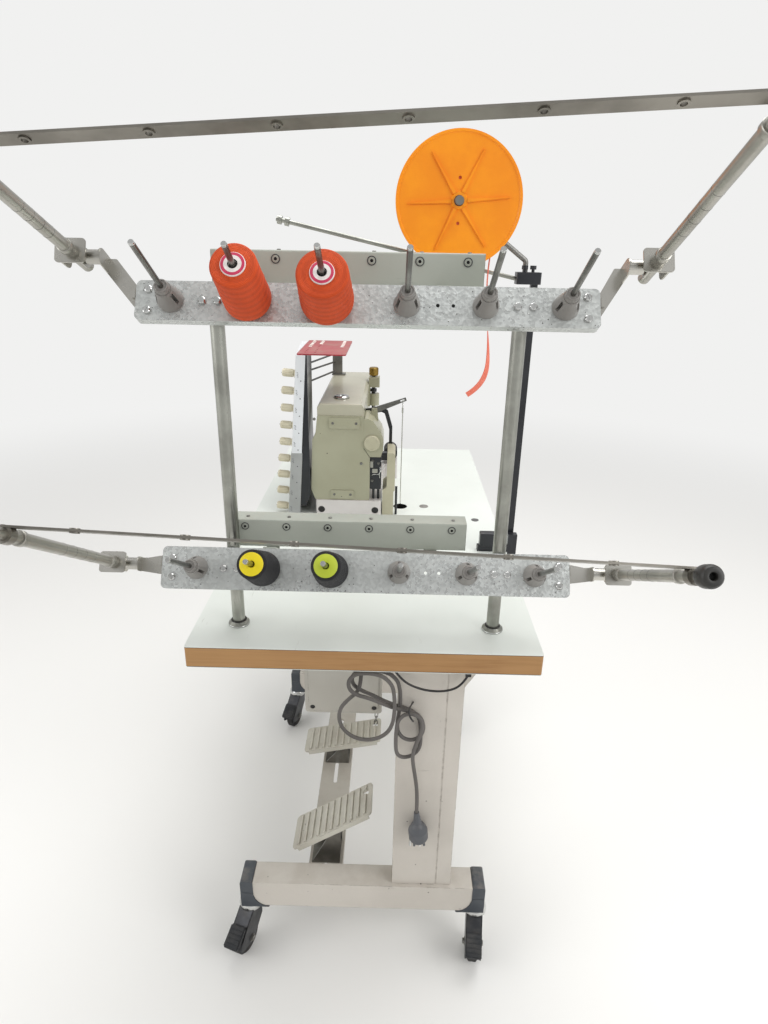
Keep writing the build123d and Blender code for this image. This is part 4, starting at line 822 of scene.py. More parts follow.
def ribbed_knob():
    """Tension knob: a disc at its foot, a round body and ribs round it."""
    board, given = growth("ribbed_knob", disc_radius=0.011, disc_height=0.0032, body_radius=0.0086, length=0.032,
                          rib_count=16, rib_size=0.0016)
    radius, cap = given["Body Radius"], 0.0012
    neck_radius, shoulder = board.times(radius, 0.72), board.times(radius, 0.97)
    disc = stub(board, given["Disc Radius"], board.times(given["Disc Radius"], 0.94), given["Disc Height"], 32)
    neck = stub(board, neck_radius, neck_radius, given["Length"], 24)
    ledge = board.times(given["Disc Height"], 1.7)
    tall = board.minus(given["Length"], board.plus(ledge, cap))
    body = lifted(board, stub(board, radius, shoulder, tall, 32), ledge)
    end = lifted(board, stub(board, shoulder, board.times(radius, 0.86), cap, 32), board.plus(ledge, tall))
    around = board.add("GeometryNodeMeshCircle", {"Vertices": given["Rib Count"], "Radius": radius})
    rib = lifted(board, block(board, given["Rib Size"], given["Rib Size"], board.times(tall, 0.86)),
                 board.plus(ledge, board.times(tall, 0.5)))
    outward = board.add("GeometryNodeInputPosition").outputs[0]
    face_out = board.add("FunctionNodeAlignRotationToVector", {"Vector": outward}, axis="X").outputs["Rotation"]
    ribs = board.add("GeometryNodeInstanceOnPoints", {"Points": around.outputs["Mesh"], "Instance": rib,
                                                      "Rotation": face_out}).outputs[0]
    return at_every_point(board, given, together(board, disc, neck, body, end, ribs))


def scale_tick():
    """Thin raised mark."""
    board, given = growth("scale_tick", tick_size=(0.002, 0.001, 0.0004))
    tick = board.add("GeometryNodeMeshCube", {"Size": given["Tick Size"]}).outputs["Mesh"]
    return at_every_point(board, given, tick)


def chain_links():
    """Oval links along a line, every second one turned by a quarter."""
    board, given = growth("chain_links", pitch=0.011, link_length=0.015, link_width=0.008, wire_radius=0.0011)
    line = board.add("GeometryNodeMeshToCurve", {"Mesh": given["Geometry"]}).outputs[0]
    places = board.add("GeometryNodeCurveToPoints", {"Curve": line, "Length": given["Pitch"]}, mode="LENGTH")
    number = board.add("GeometryNodeInputIndex").outputs[0]
    quarter = board.times(board.calc("MODULO", number, 2.0), math.pi / 2)
    oval = board.add("GeometryNodeCurvePrimitiveQuadrilateral", {"Width": given["Link Width"],
                                                                 "Height": given["Link Length"]}).outputs[0]
    oval = board.add("GeometryNodeFilletCurve", {"Curve": oval, "Count": 5, "Limit Radius": True,
                                                 "Radius": board.times(given["Link Width"], 0.5)},
                     mode="POLY").outputs[0]
    link = round_wire(board, oval, given["Wire Radius"], 8)
    upright = board.add("GeometryNodeTransform", {"Geometry": link, "Rotation": (math.pi / 2, 0, 0)}).outputs[0]
    copies = board.add("GeometryNodeInstanceOnPoints", {
        "Points": places.outputs["Points"], "Instance": upright,
        "Rotation": aimed(board, places.outputs["Tangent"], quarter)})
    return finish_growth(board, given, copies.outputs[0])


TREES = {make.__name__: make() for make in (
    screw_head, plain_stud, wire_ring, ribbed_knob, scale_tick, chain_links)}


def grow(name, kind, places, material, body="stand", slot=None, line=False, **sizes):
    """Runs a tree over places (point, aim, spin) and keeps the result as one plain mesh."""
    mesh = bpy.data.meshes.new(name + "_places")
    edges = [(number, number + 1) for number in range(len(places) - 1)] if line else []
    mesh.from_pydata([place[0] for place in places], edges, [])
    mesh.attributes.new("aim", "FLOAT_VECTOR", "POINT")
    mesh.attributes.new("spin", "FLOAT", "POINT")
    for number, place in enumerate(places):
        mesh.attributes["aim"].data[number].vector = place[1] if len(place) > 1 else (0, 0, 1)
        mesh.attributes["spin"].data[number].value = place[2] if len(place) > 2 else 0.0
    base = bpy.data.objects.new(name + "_places", mesh)
    bpy.context.scene.collection.objects.link(base)
    modifier = base.modifiers.new("growth", "NODES")
    modifier.node_group = TREES[kind]
    ids = {item.name: item.identifier for item in TREES[kind].interface.items_tree if item.in_out == "INPUT"}
    modifier[ids["Material"]] = FINISH[material]
    for label, value in sizes.items():
        modifier[ids[titled(label)]] = value
    result = bpy.data.meshes.new_from_object(base.evaluated_get(bpy.context.evaluated_depsgraph_get()))
    base.modifiers.remove(modifier)
    bpy.data.objects.remove(base)
    bpy.data.meshes.remove(mesh)
    work = bmesh.new()
    work.from_mesh(result)
    bpy.data.meshes.remove(result)
    return add_piece(name, work, material, body, 40)


# ---- Forms by hand

X, Y, Z = Vector((1, 0, 0)), Vector((0, 1, 0)), Vector((0, 0, 1))


def facing(aim):
    """A rotation that takes Z to the aim."""
    return aim.to_track_quat("Z", "Y").to_matrix()


def slab(outline, origin, right, up, deep, soft=0.4):
    """A closed plate from its outline in mm, with its edges broken by a small bevel."""
    work = bmesh.new()
    normal = right.cross(up).normalized()
    near = [work.verts.new(origin + (right * x + up * y) / 1000) for x, y in outline]
    far = [work.verts.new(vert.co + normal * deep / 1000) for vert in near]
    work.faces.new(near[::-1])
    work.faces.new(far)
    for number in range(len(near)):
        after = (number + 1) % len(near)
        work.faces.new((near[number], near[after], far[after], far[number]))
    bmesh.ops.recalc_face_normals(work, faces=work.faces)
    sharp = [edge for edge in work.edges if edge.calc_face_angle(0) > 0.6]
    bmesh.ops.bevel(work, geom=sharp, offset=soft / 1000, segments=2, affect="EDGES", clamp_overlap=True)
    return work


def rounded(x0, x1, y0, y1, radius):
    """Outline of a rectangle with round corners."""
    steps = 5
    corners = ((x1 - radius, y1 - radius, 0), (x0 + radius, y1 - radius, 90), (x0 + radius, y0 + radius, 180),
               (x1 - radius, y0 + radius, 270))
    points = []
    for x, y, start in corners:
        for number in range(steps + 1):
            angle = math.radians(start + 90 * number / steps)
            points.append((x + radius * math.cos(angle), y + radius * math.sin(angle)))
    return points


def joined(parts):
    """Several meshes as one."""
    whole = bmesh.new()
    for part in parts:
        mesh = bpy.data.meshes.new("part")
        part.to_mesh(mesh)
        part.free()
        whole.from_mesh(mesh)
        bpy.data.meshes.remove(mesh)
    return whole


def oblong(x0, x1, y0, y1):
    """Outline of a rectangle with plain corners."""
    return [(x0, y0), (x1, y0), (x1, y1), (x0, y1)]


def mirrored(outline, side):
    """The outline on its own side of the middle: 1 as given, -1 across."""
    return [(side * x, y) for x, y in outline]


def wire(points, radius):
    """A bent wire through its points, as a closed mesh."""
    mesh = line_mesh(points, radius / 1000)
    work = bmesh.new()
    work.from_mesh(mesh)
    bpy.data.meshes.remove(mesh)
    bmesh.ops.remove_doubles(work, verts=work.verts, dist=1e-6)
    bmesh.ops.recalc_face_normals(work, faces=work.faces)
    return work


def bar(start, end, radius, steps=20):
    """A straight round bar between two points, its ends slightly broken."""
    length = (end - start).length * 1000
    edge = min(0.5, radius * 0.3)
    return lathe(((0, 0), (radius - edge, 0), (radius, edge), (radius, length - edge), (radius - edge, length),
                  (0, length)), start, facing(end - start), steps)


# ---- Cone stand

LEAN = math.radians(31)
DECK_UP = Vector((0, math.sin(LEAN), math.cos(LEAN)))
DECK_OUT = Vector((0, -math.cos(LEAN), math.sin(LEAN)))
DECK_HEIGHT = {"lower": 889, "upper": 1313}
DECK_LENGTH = {"lower": 676, "upper": 660}
DECK_Y, SEAT_PITCH, EYE_PITCH = 47, 112, 70
SEAT_X = [(number - 2.5) * SEAT_PITCH for number in range(6)]
EYE_X = [(number - 2.5) * EYE_PITCH - 31 for number in range(6)]
# Each cone: its deck and seat, the radii of its foot and end, its length and its kind.
CONES = (("upper", 1, 34, 31, 97, "orange"), ("upper", 2, 38, 35, 81, "orange"),
         ("lower", 1, 29, 23, 100, "yellow"), ("lower", 2, 29, 23, 100, "lime"))


def on_deck(name, x, up=0.0, out=0.0):
    """A point given in mm on a cone deck's front face."""
    return at(x, DECK_Y, DECK_HEIGHT[name]) + (DECK_UP * up + DECK_OUT * out) / 1000


def thread_cones():
    """Four cones: a hub, its wound thread and the label on its end."""
    turn = Matrix((X, DECK_UP, DECK_OUT)).transposed()
    threads, hubs = {"orange": [], "black": []}, {"orange": [], "yellow": [], "lime": []}
    labels, rims, bore_shades = [], [], []
    for deck, seat, base, end, length, kind in CONES:
        foot = on_deck(deck, SEAT_X[seat], 0, 4.3)
        rim = 16.5 if kind == "orange" else 18.2
        hubs[kind].append(lathe(((19, 0), (21.5, 0), (16.6, length - 1.4), (rim, length - 1.3), (rim, length - 0.2),
                                 (rim - 0.8, length + 0.4), (5.6, length + 0.4), (5, length - 0.2), (5, length - 3),
                                 (14, length - 3)), foot, turn, 48, None, True))
        body = [(21.7, 2), (base - 5, 1.8), (base - 2, 2.6), (base - 0.4, 5), (base, 9)]
        body += [(base + (end - base) * share + 0.3 * math.sin(share * 17), 9 + (length - 16) * share)
                 for share in (0.15, 0.3, 0.45, 0.6, 0.75, 0.9)]
        body += [(end, length - 4.6), (end - 0.5, length - 3), (end - 1.8, length - 2.1), (end - 5, length - 1.8),
                 (16.9, length - 1.6)]
        thread = "orange" if kind == "orange" else "black"
        threads[thread].append(lathe(body, foot, turn, 64, "winding", True))
        # The dark rings round the hubs' bores are painted shade in the bores.
        for found, steps, ring in ((labels, 40, ((6.6, 0.3), (11.8, 0.3), (11.8, 0.8), (6.6, 0.8))),
                                   (rims, 40, ((11.8, 0.2), (15.6, 0.2), (15.6, 0.7), (11.8, 0.9))),
                                   (bore_shades, 32, ((5.2, 0.3), (6.6, 0.3), (6.6, 1), (5.2, 1)))):
            if kind == "orange":
                found.append(lathe([(radius, length + rise) for radius, rise in ring], foot, turn, steps, None, True))
    add_piece("orange_cones", threads["orange"], "orange_thread", crease=50, stands_for="thread_cones")
    for name, parts, key in (("black_cones", threads["black"], "black_thread"), ("cone_hubs", hubs["orange"], "label"),
                             ("yellow_cone_hub", hubs["yellow"], "yellow_hub"),
                             ("lime_cone_hub", hubs["lime"], "lime_hub"), ("cone_labels", labels, "label"),
                             ("cone_label_rims", rims, "label_rim"), ("cone_bore_shades", bore_shades, "hole")):
        add_piece(name, parts, key, crease=45)


def deck_hardware():
    """Bolts of the decks, rounded tips of the pins, and the guide rails' eyes and screws."""
    bolts = []
    for name, length in DECK_LENGTH.items():
        for x in (-235, -213, 213, 235):
            bolts.append((on_deck(name, x), DECK_OUT, 0.3 * x))
        for x in (18 - length / 2, length / 2 - 18):
            for up in (-16, 16):
                bolts.append((on_deck(name, x, up), DECK_OUT, 0.7 * x + up))
    grow("deck_bolts", "screw_head", bolts, "bright", washer_radius=0.0066,
         head_radius=0.0054, head_height=0.0034, slot_width=0.0009)
    tips = [(on_deck(name, x, 0, 144.6), DECK_OUT) for name in DECK_HEIGHT for x in SEAT_X]
    grow("pin_tips", "plain_stud", tips, "bright", foot_radius=0.0039, foot_height=0.0022,
         crown_radius=0.0036, crown_height=0.0012, sides=20)
    rims = [(on_deck(name, x, 0, 41.2), DECK_OUT) for name in DECK_HEIGHT for x in SEAT_X]
    grow("seat_rims", "wire_ring", rims, "seat", ring_radius=0.0088, wire_radius=0.0012)
    spots = [(x, height) for height in DECK_HEIGHT.values() for x in EYE_X]
    eyes = [(at(x, 94.9, height + 57), -Y) for x, height in spots]
    holes = [(at(x, 95.2, height + 57), -Y) for x, height in spots]
    screws = [(at(x + 3, 109, height + 69), Z, x) for x, height in spots]
    grow("guide_eye_rims", "wire_ring", eyes, "black_steel", slot="bright_steel", ring_radius=0.006,
         wire_radius=0.0007, ring_lift=0.0004)
    grow("guide_eye_cups", "plain_stud", holes, "guide", foot_radius=0.0058,
         foot_height=0.0009, crown_radius=0.0046, crown_height=0.0008, sides=24)
    # Painted shade: dark discs in the eye cups stand for the shade in the eyes' holes.
    grow("guide_eye_holes", "plain_stud", holes, "hole", foot_radius=0.0024,
         foot_height=0.0018, crown_radius=0.0022, crown_height=0.0002, sides=16)
    # Painted shade: dark discs in the upper deck's two spare holes stand for the shade inside them.
    dark_studs = [(on_deck("upper", x, 0, -0.9), DECK_OUT) for x in (100, 122)]
    grow("spare_hole_shades", "plain_stud", dark_studs, "hole", foot_radius=0.0026,
         foot_height=0.0004, crown_radius=0.002, crown_height=0.0002, sides=20)
    grow("guide_top_screws", "screw_head", screws, "dark_steel", washer_radius=0.0032,
         washer_height=0.0004, head_radius=0.0028, head_height=0.0012, slot_width=0.0007)


def strap_pieces():
    """Bent straps bolted behind the deck ends, each with the sleeve that its clip turns on."""
    parts = []
    for name, up, out in (("upper", 52, 21), ("lower", 4, 8)):
        end = DECK_LENGTH[name] / 2
        for number, side in enumerate((-1, 1)):
            arm = abs(FRAMES[name]["arms"][number])
            tab = arm - 33
            strap = ((end - 36, -20), (end - 2, -20), (end, -12), (tab, up - 11), (tab, up + 11), (tab - 12, up + 11),
                     (end - 2, 20), (end - 36, 20))
            parts.append(slab(mirrored(strap, side), on_deck(name, 0, 0, -5), X, DECK_UP, 3, 0.6))
            ear = oblong(end + 0.5, end + 5, 2, 17)
            parts.append(slab(mirrored(ear, side), on_deck(name, 0, 0, -4), X, DECK_UP, 4.5, 0.6))
            web = [(-5, up - 12), (out, up - 12)]
            web += [(out + 12 * math.sin(math.radians(turn)), up - 12 * math.cos(math.radians(turn)))
                    for turn in range(15, 166, 15)]
            web += [(out, up + 12), (-5, up + 12)]
            parts.append(slab(web, on_deck(name, side * tab), DECK_OUT, DECK_UP, 3 * side, 0.6))
            parts.append(lathe(((0, 0), (9.6, 0), (10, 0.4), (10, 19.6), (9.6, 20), (0, 20)),
                               on_deck(name, side * (tab - 0.5), up, out), facing(X * side), 32))
    add_piece("frame_straps", parts, "clip", stands_for="strap_brackets")


def guide_rails():
    """Two angle rails behind the posts, each carried from its deck by two feet behind the sheet."""
    parts = []
    for name, height in DECK_HEIGHT.items():
        low, high = height + 20, height + 69
        edge = 35 if name == "lower" else 30
        profile = [(95, low), (98, low), (98, high - 5.4), (98.7, high - 3.8), (100.2, high - 3), (131, high - 3),
                   (131, high), (98.6, high), (96.2, high - 1), (95, high - 3.4)]
        parts.append(slab(profile, at(-231, 0, 0), Y, Z, 400, 0.3))
        for x in (-161, 109):
            for low_edge, high_edge, spot, up, deep in ((-35, -3, on_deck(name, 0, edge), DECK_OUT, -3),
                                                        (low - 12, low + 24, at(0, 101, 0), Z, 3),
                                                        (76, 101, at(0, 0, low - 12), Y, 3)):
                parts.append(slab(oblong(x - 11, x + 11, low_edge, high_edge), spot, X, up, deep, 0.5))
    add_piece("guide_angles", parts, "guide", stands_for="guide_rails")


# ---- Tilting thread-guide frames

# Each frame: its pivots' y and z, and for its left and right arm the x, the rise in degrees,
# the reach to the strip and the length past it.
FRAMES = {
    "upper": {"pivot": (55.8, 1368.4), "arms": (-408, 397), "rises": (23, 27.9), "reach": (287, 340), "ends": (34, 34)},
    "lower": {"pivot": (42.2, 896.5), "arms": (-408, 408), "rises": (32, 26.9), "reach": (353, 312), "ends": (34, 24)}}


def frame_arms(name):
    """Clips, telescopic tubes and rubber ends of one frame."""
    sizes, body = FRAMES[name], name + "_frame"
    tubes, clips, caps, bolts, grooves = [], [], [], [], []
    for number, side in enumerate((-1, 1)):
        rise = math.radians(sizes["rises"][number])
        along = Vector((0, -math.cos(rise), math.sin(rise)))
        up = Vector((0, math.sin(rise), math.cos(rise)))
        turn = Matrix((X, up, along)).transposed()
        pivot = at(sizes["arms"][number], *sizes["pivot"])
        length = sizes["reach"][number] + sizes["ends"][number] - 26
        joint = length - 60
        tubes.append(lathe((
            (0, -34), (7.6, -34), (8.5, -33), (8.5, joint - 9), (9.9, joint - 8.6), (10.2, joint - 8),
            (10.2, joint - 1), (9.6, joint), (7.6, joint + 0.4), (7.5, length), (0, length)), pivot, turn, 40))
        tubes.append(lathe((
            (8.5, 31), (10.1, 31.4), (10.4, 32.4), (10.4, 39), (9.9, 40), (8.5, 40.4)), pivot, turn, 40, None, True))
        plate = pivot + along * 0.020
        clips.append(slab(rounded(-21, 21, -17, 17, 5), plate, X, up, 3))
        for near, far in ((-12, -9), (15, 18)):
            edge = min(near * side, far * side)
            clips.append(slab(rounded(-16, 21, -13, 13, 9), pivot + X * (edge + 3) / 1000, along, up, 3))
        clips.append(lathe(((0, 8.2), (4.2, 8.4), (4.5, 9.4), (4.5, 18), (3.9, 19), (0, 19)), pivot + along * 0.004,
                           facing(up), 20))
        bolts.append((pivot + X * side * 0.018, X * side, 0.4))
        caps.append(lathe((
            (0, length - 3), (8.8, length - 3), (9.6, length), (12.2, length + 0.8), (14, length + 3),
            (14.5, length + 6), (14.5, length + 18), (13.6, length + 21.4), (11.5, length + 23.6), (8, length + 24.4),
            (5.4, length + 24), (4.8, length + 22.6), (4.6, length + 14), (0, length + 14)), pivot, turn, 40))
        for share in (0.34, 0.44, 0.54, 0.64):
            grooves.append((pivot + along * joint * share / 1000, along))
    # Dark rings mark the grooves round the tubes; their dark colour is painted shade in the grooves.
    grow(body + "_tube_grooves", "wire_ring", grooves, "dark_steel", body, "satin_nickel", ring_radius=0.0084,
         wire_radius=0.0004)
    add_piece(body + "_tubes", tubes, "nickel", body, stands_for=body + "_arms")
    add_piece(body + "_clips", clips, "clip", body)
    add_piece(body + "_ends", caps, "black", body)
    grow(body + "_pivot_bolts", "screw_head", bolts, "bright", body, "bright_steel", washer_radius=0.0085,
         washer_height=0.0012, head_radius=0.0066, head_height=0.0042, **HEX)


# ---- Elastic reel

def reel_details():
    """Hub nut, rolled rims and deep ribs of the two discs."""
    hub = at(REEL_X, 402, REEL_Z)
    washer = lathe(((5.6, 0), (9.6, 0), (9.6, -2.2), (8.8, -3), (5.6, -3)), hub - Y * 0.0005, facing(Y), 32, None, True)
    corners = [math.radians(60 * number) for number in range(6)]
    nut = [(6.8 * math.cos(angle), 6.8 * math.sin(angle)) for angle in corners]
    add_piece("reel_hub_nut", [washer, slab(nut, hub - Y * 0.0035, X, Z, 9.5, 0.7)], "black_steel")
    rims = [(at(REEL_X, y, REEL_Z), out) for y, out in ((402.6, -Y), (421.2, Y))]
    grow("reel_rims", "wire_ring", rims, "reel", "reel", ring_radius=0.1138, wire_radius=0.0019)
    ridge = ((14, -3.8), (15, -4.4), (50, -3), (92, -1.4), (95, 0), (92, 1.4), (50, 3), (15, 4.4), (14, 3.8))
    ribs = []
    for y, out in ((402.5, -Y), (421.5, Y)):
        for number in range(6):
            angle = math.radians(60 * number + 4)
            along = X * math.cos(angle) + Z * math.sin(angle)
            ribs.append(slab(ridge, at(REEL_X, y, REEL_Z), along, out.cross(along), 4.2, 1.1))
    add_piece("reel_ribs", ribs, "reel", "reel", crease=25)


# ---- Machine head

KNOB_FOOT, KNOB_PITCH, KNOB_ROWS = 16.5, 41.4, 9
KNOB_HEIGHTS = [KNOB_FOOT + KNOB_PITCH * row for row in range(KNOB_ROWS)]


def panel_edges(height):
    """The panel's left and right x at a height above the table."""
    share = 1 - height / PANEL_TOP
    wider = 1.5 if height < PANEL_FOOT else 0
    return -184 - 29 * share - wider, -162 - 25 * share + wider


def tension_knobs():
    """Nine ribbed knobs down the panel's outer edge, a bright disc and a spindle tip on each."""
    aim = Vector((-PANEL_TOP, 0, 29)).normalized()
    places = [(at(panel_edges(height)[0], 612, TABLE + height), aim, 0.2 * row)
              for row, height in enumerate(KNOB_HEIGHTS)]
    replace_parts(grow("ribbed_knobs", "ribbed_knob", places, "cream"), "tension_knobs")
    tips = [(place[0] + aim * 0.0315, aim) for place in places]
    grow("tension_spindles", "plain_stud", tips, "bright", foot_radius=0.0026,
         foot_height=0.002, crown_radius=0.0022, crown_height=0.001, sides=16)
    discs = [(place[0] + aim * 0.0006, aim) for place in places]
    grow("tension_discs", "wire_ring", discs, "bright", ring_radius=0.0108, wire_radius=0.0008)


def swept(part):
    """Turns a panel's far end a little towards the operator; what stands behind the panel stays."""
    for vert in part.verts:
        y = (vert.co.y - near_edge) * 1000
        if y < PANEL_FAR + 8:
            vert.co.x -= PANEL_SWEEP / 1000 * max(y - PANEL_NEAR, 0) / (PANEL_FAR - PANEL_NEAR)
    return part


def panel_body():
    """Tension panel with the dark plate, post and stay rods behind it."""
    add_piece("panel_box", swept(joined(islands("tension_panel"))), "panel", stands_for="tension_panel")
    behind = swept(joined(islands("panel_stays")))
    # The dark plate is narrower than its solid, so its right side moves in.
    for vert in behind.verts:
        if vert.co.z > table_z + 0.18 and -0.182 < vert.co.x < -0.150 and vert.co.y < near_edge + 0.84:
            vert.co.x -= 0.0065 if vert.co.x > -0.158 - PANEL_SWEEP / 1000 else 0
    back = mesh_piece("panel_back", behind, FINISH["black_steel"])
    # The stay rods behind the plate are plain steel.
    back.data.materials.append(FINISH["dull"])
    for face in back.data.polygons:
        if (face.center.y - near_edge) * 1000 > PANEL_FAR + 60 or face.center.z > table_z + 0.4:
            face.material_index = 1
    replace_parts(back, "panel_stays")


def panel_marks():
    """Scale marks beside the knobs and small dots down the panel's near face."""
    marks, dots = [], []
    for height in KNOB_HEIGHTS:
        left, right = panel_edges(height)
        for step in range(4):
            marks.append((at(left + 5.5 + step % 2, PANEL_NEAR - 0.1, TABLE + height + 5 - 3.2 * step), -Y))
        dots.append((at((left + right) / 2 + 2, PANEL_NEAR + 0.1, TABLE + height - 14), -Y))
    grow("panel_marks", "scale_tick", marks, "ink", tick_size=(0.0032, 0.0009, 0.0004))
    grow("panel_dots", "plain_stud", dots, "ink", foot_radius=0.0014, foot_height=0.0003,
         crown_radius=0.0011, crown_height=0.0002, sides=12)


def lid_and_cap():
    """The arm's lid and its filler cap, each with its own finish."""
    cap, lid = sorted(islands("top_lid"), key=lambda part: max(v.co.y for v in part.verts))
    add_piece("arm_lid", lid, "lid", stands_for="top_lid")
    add_piece("filler_cap", cap, "bright")
    ring = [(at(-86, 671, 1045), Z)]
    grow("filler_cap_ring", "wire_ring", ring, "black", ring_radius=0.0188, wire_radius=0.0009)


def tray_eyes():
    """Porcelain eyes in the thread tray's holes."""
    eyes = [(at(x, 624 + 24 * number, 1160.2), Z) for x, first in ((-166, 4), (-88, 4), (-144, 6))
            for number in range(first, 9)]
    grow("tray_eyes", "wire_ring", eyes, "porcelain", ring_radius=0.0034, wire_radius=0.0013)


def head_screws():
    """Screws of the cover plates, plugs of the bed, studs of the housing's cap."""
    spots = [(at(x, 597.6, z), -Y, 0.13 * x) for x, z in ((-102, 999.5), (-46, 999.5), (-100, 820), (-60, 820))]
    spots += [(at(x, 599.9, z), -Y, 0.3 * x) for x, z in ((-146, 1008), (-34, 900))]
    grow("cover_screws", "screw_head", spots, "dark_steel", washer_radius=0.0036,
         washer_height=0.0005, head_radius=0.003, head_height=0.0016, slot_width=0.0008)
    dark_studs = [(at(x, 604, 780), -Y) for x in (-132, 1)]
    grow("bed_plugs", "plain_stud", dark_studs, "black", foot_radius=0.0084, foot_height=0.0066,
         crown_radius=0.0074, crown_height=0.0008)
    lugs = [(at(-8 + 14.5 * math.cos(a), 592.8, 952 + 14.5 * math.sin(a)), -Y, a) for a in (0.6, 2.7, 4.75)]
    grow("shaft_cap_screws", "plain_stud", lugs, "beige", foot_radius=0.0015,
         foot_height=0.0005, crown_radius=0.0012, crown_height=0.0003, sides=12)


def crank_details():
    """Small parts in the gap behind the column: a bright plate, bent wires and nuts."""
    plate = slab(rounded(-6, 7, -5, 6, 1.5), at(-1, 604, 880), X, Z, -3)
    ear = slab(rounded(-3, 4, -4, 12, 1.5), at(-9, 603, 893), X, Z, -4)
    hook = wire([at(x, y, z) for x, y, z in ((14, 606, 906), (21, 602, 900), (24, 601, 892), (15, 601, 884),
                                             (9, 602, 872), (12, 606.5, 862))], 1.1)
    second = wire([at(x, y, z) for x, y, z in ((-9, 606.5, 868), (-3, 601, 874), (8, 600, 872), (14, 601, 880),
                                               (12, 606.5, 890))], 0.9)
    add_piece("crank_plate", [plate, ear], "nickel", crease=35)
    add_piece("crank_wires", [hook, second], "bright", crease=35)
    nuts = [(at(x, 605.8, z), -Y, 0.5) for x, z in ((-7, 855), (8, 900), (-6, 906))]
    grow("crank_screws", "screw_head", nuts, "dull", washer_radius=0.0034, head_radius=0.0027,
         head_height=0.002, slot_width=0.0006, head_sides=6)


# ---- Table, box, stand and casters

def table_caps():
    """Covers in the table's spare holes, and painted shade inside the wire's hole as a dark tube."""
    grow("table_caps", "plain_stud", [(at(126.1, 669.8, TABLE), Z)], "seat", slot="cap_plastic", foot_radius=0.0115,
         foot_height=0.0008, crown_radius=0.0095, crown_height=0.0008)
    grow("dark_table_caps", "plain_stud", [(at(249.8, 584, TABLE), Z), (at(255.8, 459.8, TABLE), Z)], "cap",
         foot_radius=0.0092, foot_height=0.0008, crown_radius=0.0074, crown_height=0.0008)
    # Painted shade: a dark tube inside the wire's hole.
    shade_tube = lathe(((17.9, -39.6), (17.9, -0.3), (17.2, -0.3), (17.2, -39.6)), at(64.7, 667, TABLE),
                   Matrix.Identity(3), 48, None, True)
    add_piece("wire_hole_shade", shade_tube, "hole")


def box_screws():
    """Screws at the control box's corners and the ribs of its cable gland."""
    spots = [(at(x, 151.1, z), -Y, 0.02 * x) for x in (-107, 16) for z in (533, 698)]
    grow("box_screws", "screw_head", spots, "black", washer_radius=0.0058, head_radius=0.0048,
         head_height=0.0026, slot_width=0.0011)
    rings = [(at(-5, 144.2 - 3.2 * number, 703), -Y) for number in range(6)]
    grow("gland_ribs", "wire_ring", rings, "black", ring_radius=0.0062, wire_radius=0.0011)


def post_collars():
    """Bright rims on the post flanges and dark rings where the posts enter them."""
    for name, rise, material, radius, thick in (("post_flange_rims", 1.6, "bright", 0.0172, 0.0015),
                                                ("post_rings", 8.6, "black", 0.0122, 0.0014)):
        grow(name, "wire_ring", [(at(*post, TABLE + rise), Z) for post in POSTS], material, ring_radius=radius,
             wire_radius=thick)


# Each caster: its stem's x and y and the heading of its wheel in degrees.
CASTERS = {"right_front": (-236, LEGS[0], 250), "right_rear": (236, LEGS[0], 264),
           "left_front": (-236, LEGS[1], 254), "left_rear": (236, LEGS[1], 276)}


def caster_details():
    """Domed collar, rubber brake pad and axle nuts of each caster."""
    for name, (x, y, heading) in CASTERS.items():
        body = "swivel_" + name
        stem = at(x, y, 0)
        turn = Matrix.Rotation(math.radians(heading), 3, "Z")
        trail, side = turn @ X, turn @ Y
        axle = stem + trail * 0.030 + Z * 0.035
        dome = lathe(((0, 118.4), (14, 118.4), (15.5, 115.6), (19.6, 113), (22.8, 108.6), (24, 103), (23.6, 98),
                      (22, 95.6), (0, 95.6)), stem, Matrix.Identity(3), 40)
        add_piece(name + "_collar", dome, "bright", body)
        cheek = ((-18, 100.7), (18, 100.7), (48, 76.7), (68, 56), (72, 40), (64, 34), (39, 25), (21, 25), (12, 34),
                 (-14, 60))
        roof = ((-18, 100.7), (18, 100.7), (46, 78.3), (44, 75.8), (17, 97.4), (-18, 97.4))
        fork = [slab(cheek, stem + side * 0.0166, trail, Z, 3, 0.7),
                slab(cheek, stem - side * 0.0136, trail, Z, 3, 0.7),
                slab(roof, stem + side * 0.0166, trail, Z, 33.2, 0.6),
                bar(axle + side * 0.0165, axle - side * 0.0165, 4)]
        add_piece(name + "_fork", fork, "fork", body, stands_for="caster_fork_" + name)
        grip = ((46, 80.5), (50.6, 88.6), (86.6, 66.4), (84, 58.6), (76, 56.4))
        pad = [slab(grip, stem + side * 0.0162, trail, Z, 32.4, 2.2)]
        for step in (0.2, 0.4, 0.6, 0.8):
            spot = stem + trail * (0.0506 + 0.036 * step) + Z * (0.0886 - 0.0222 * step)
            pad.append(bar(spot - side * 0.013, spot + side * 0.013, 1.1, 10))
        add_piece(name + "_brake", pad, "brake", body)
        ends = [(axle + out * 0.0166, out, 0.3) for out in (-side, side)]
        grow(name + "_axle_nuts", "screw_head", ends, "dull", body, "fork_steel", washer_radius=0.0082,
             head_radius=0.0062, head_height=0.004, **HEX)


def foot_skirts():
    """Curved lower corners of the foot caps, which wrap under the beam's ends."""
    parts = []
    curve = ((250, 121), (250, 117.4), (192, 117.4), (196, 119.6), (206, 123.4), (214, 129.6), (220, 138), (224, 150),
             (226, 156), (250, 156))
    for y in LEGS:
        for side in (-1, 1):
            for cheek in (-24.5, 26.9):
                parts.append(slab(mirrored(curve, side), at(0, y + cheek, 0), X, Z, 2.4, 0.7))
            parts.append(slab(mirrored(oblong(192, 250, -26.4, 26.4), side), at(0, y, 117.4), X, Y, 3, 0.8))
    add_piece("foot_skirts", parts, "cap")


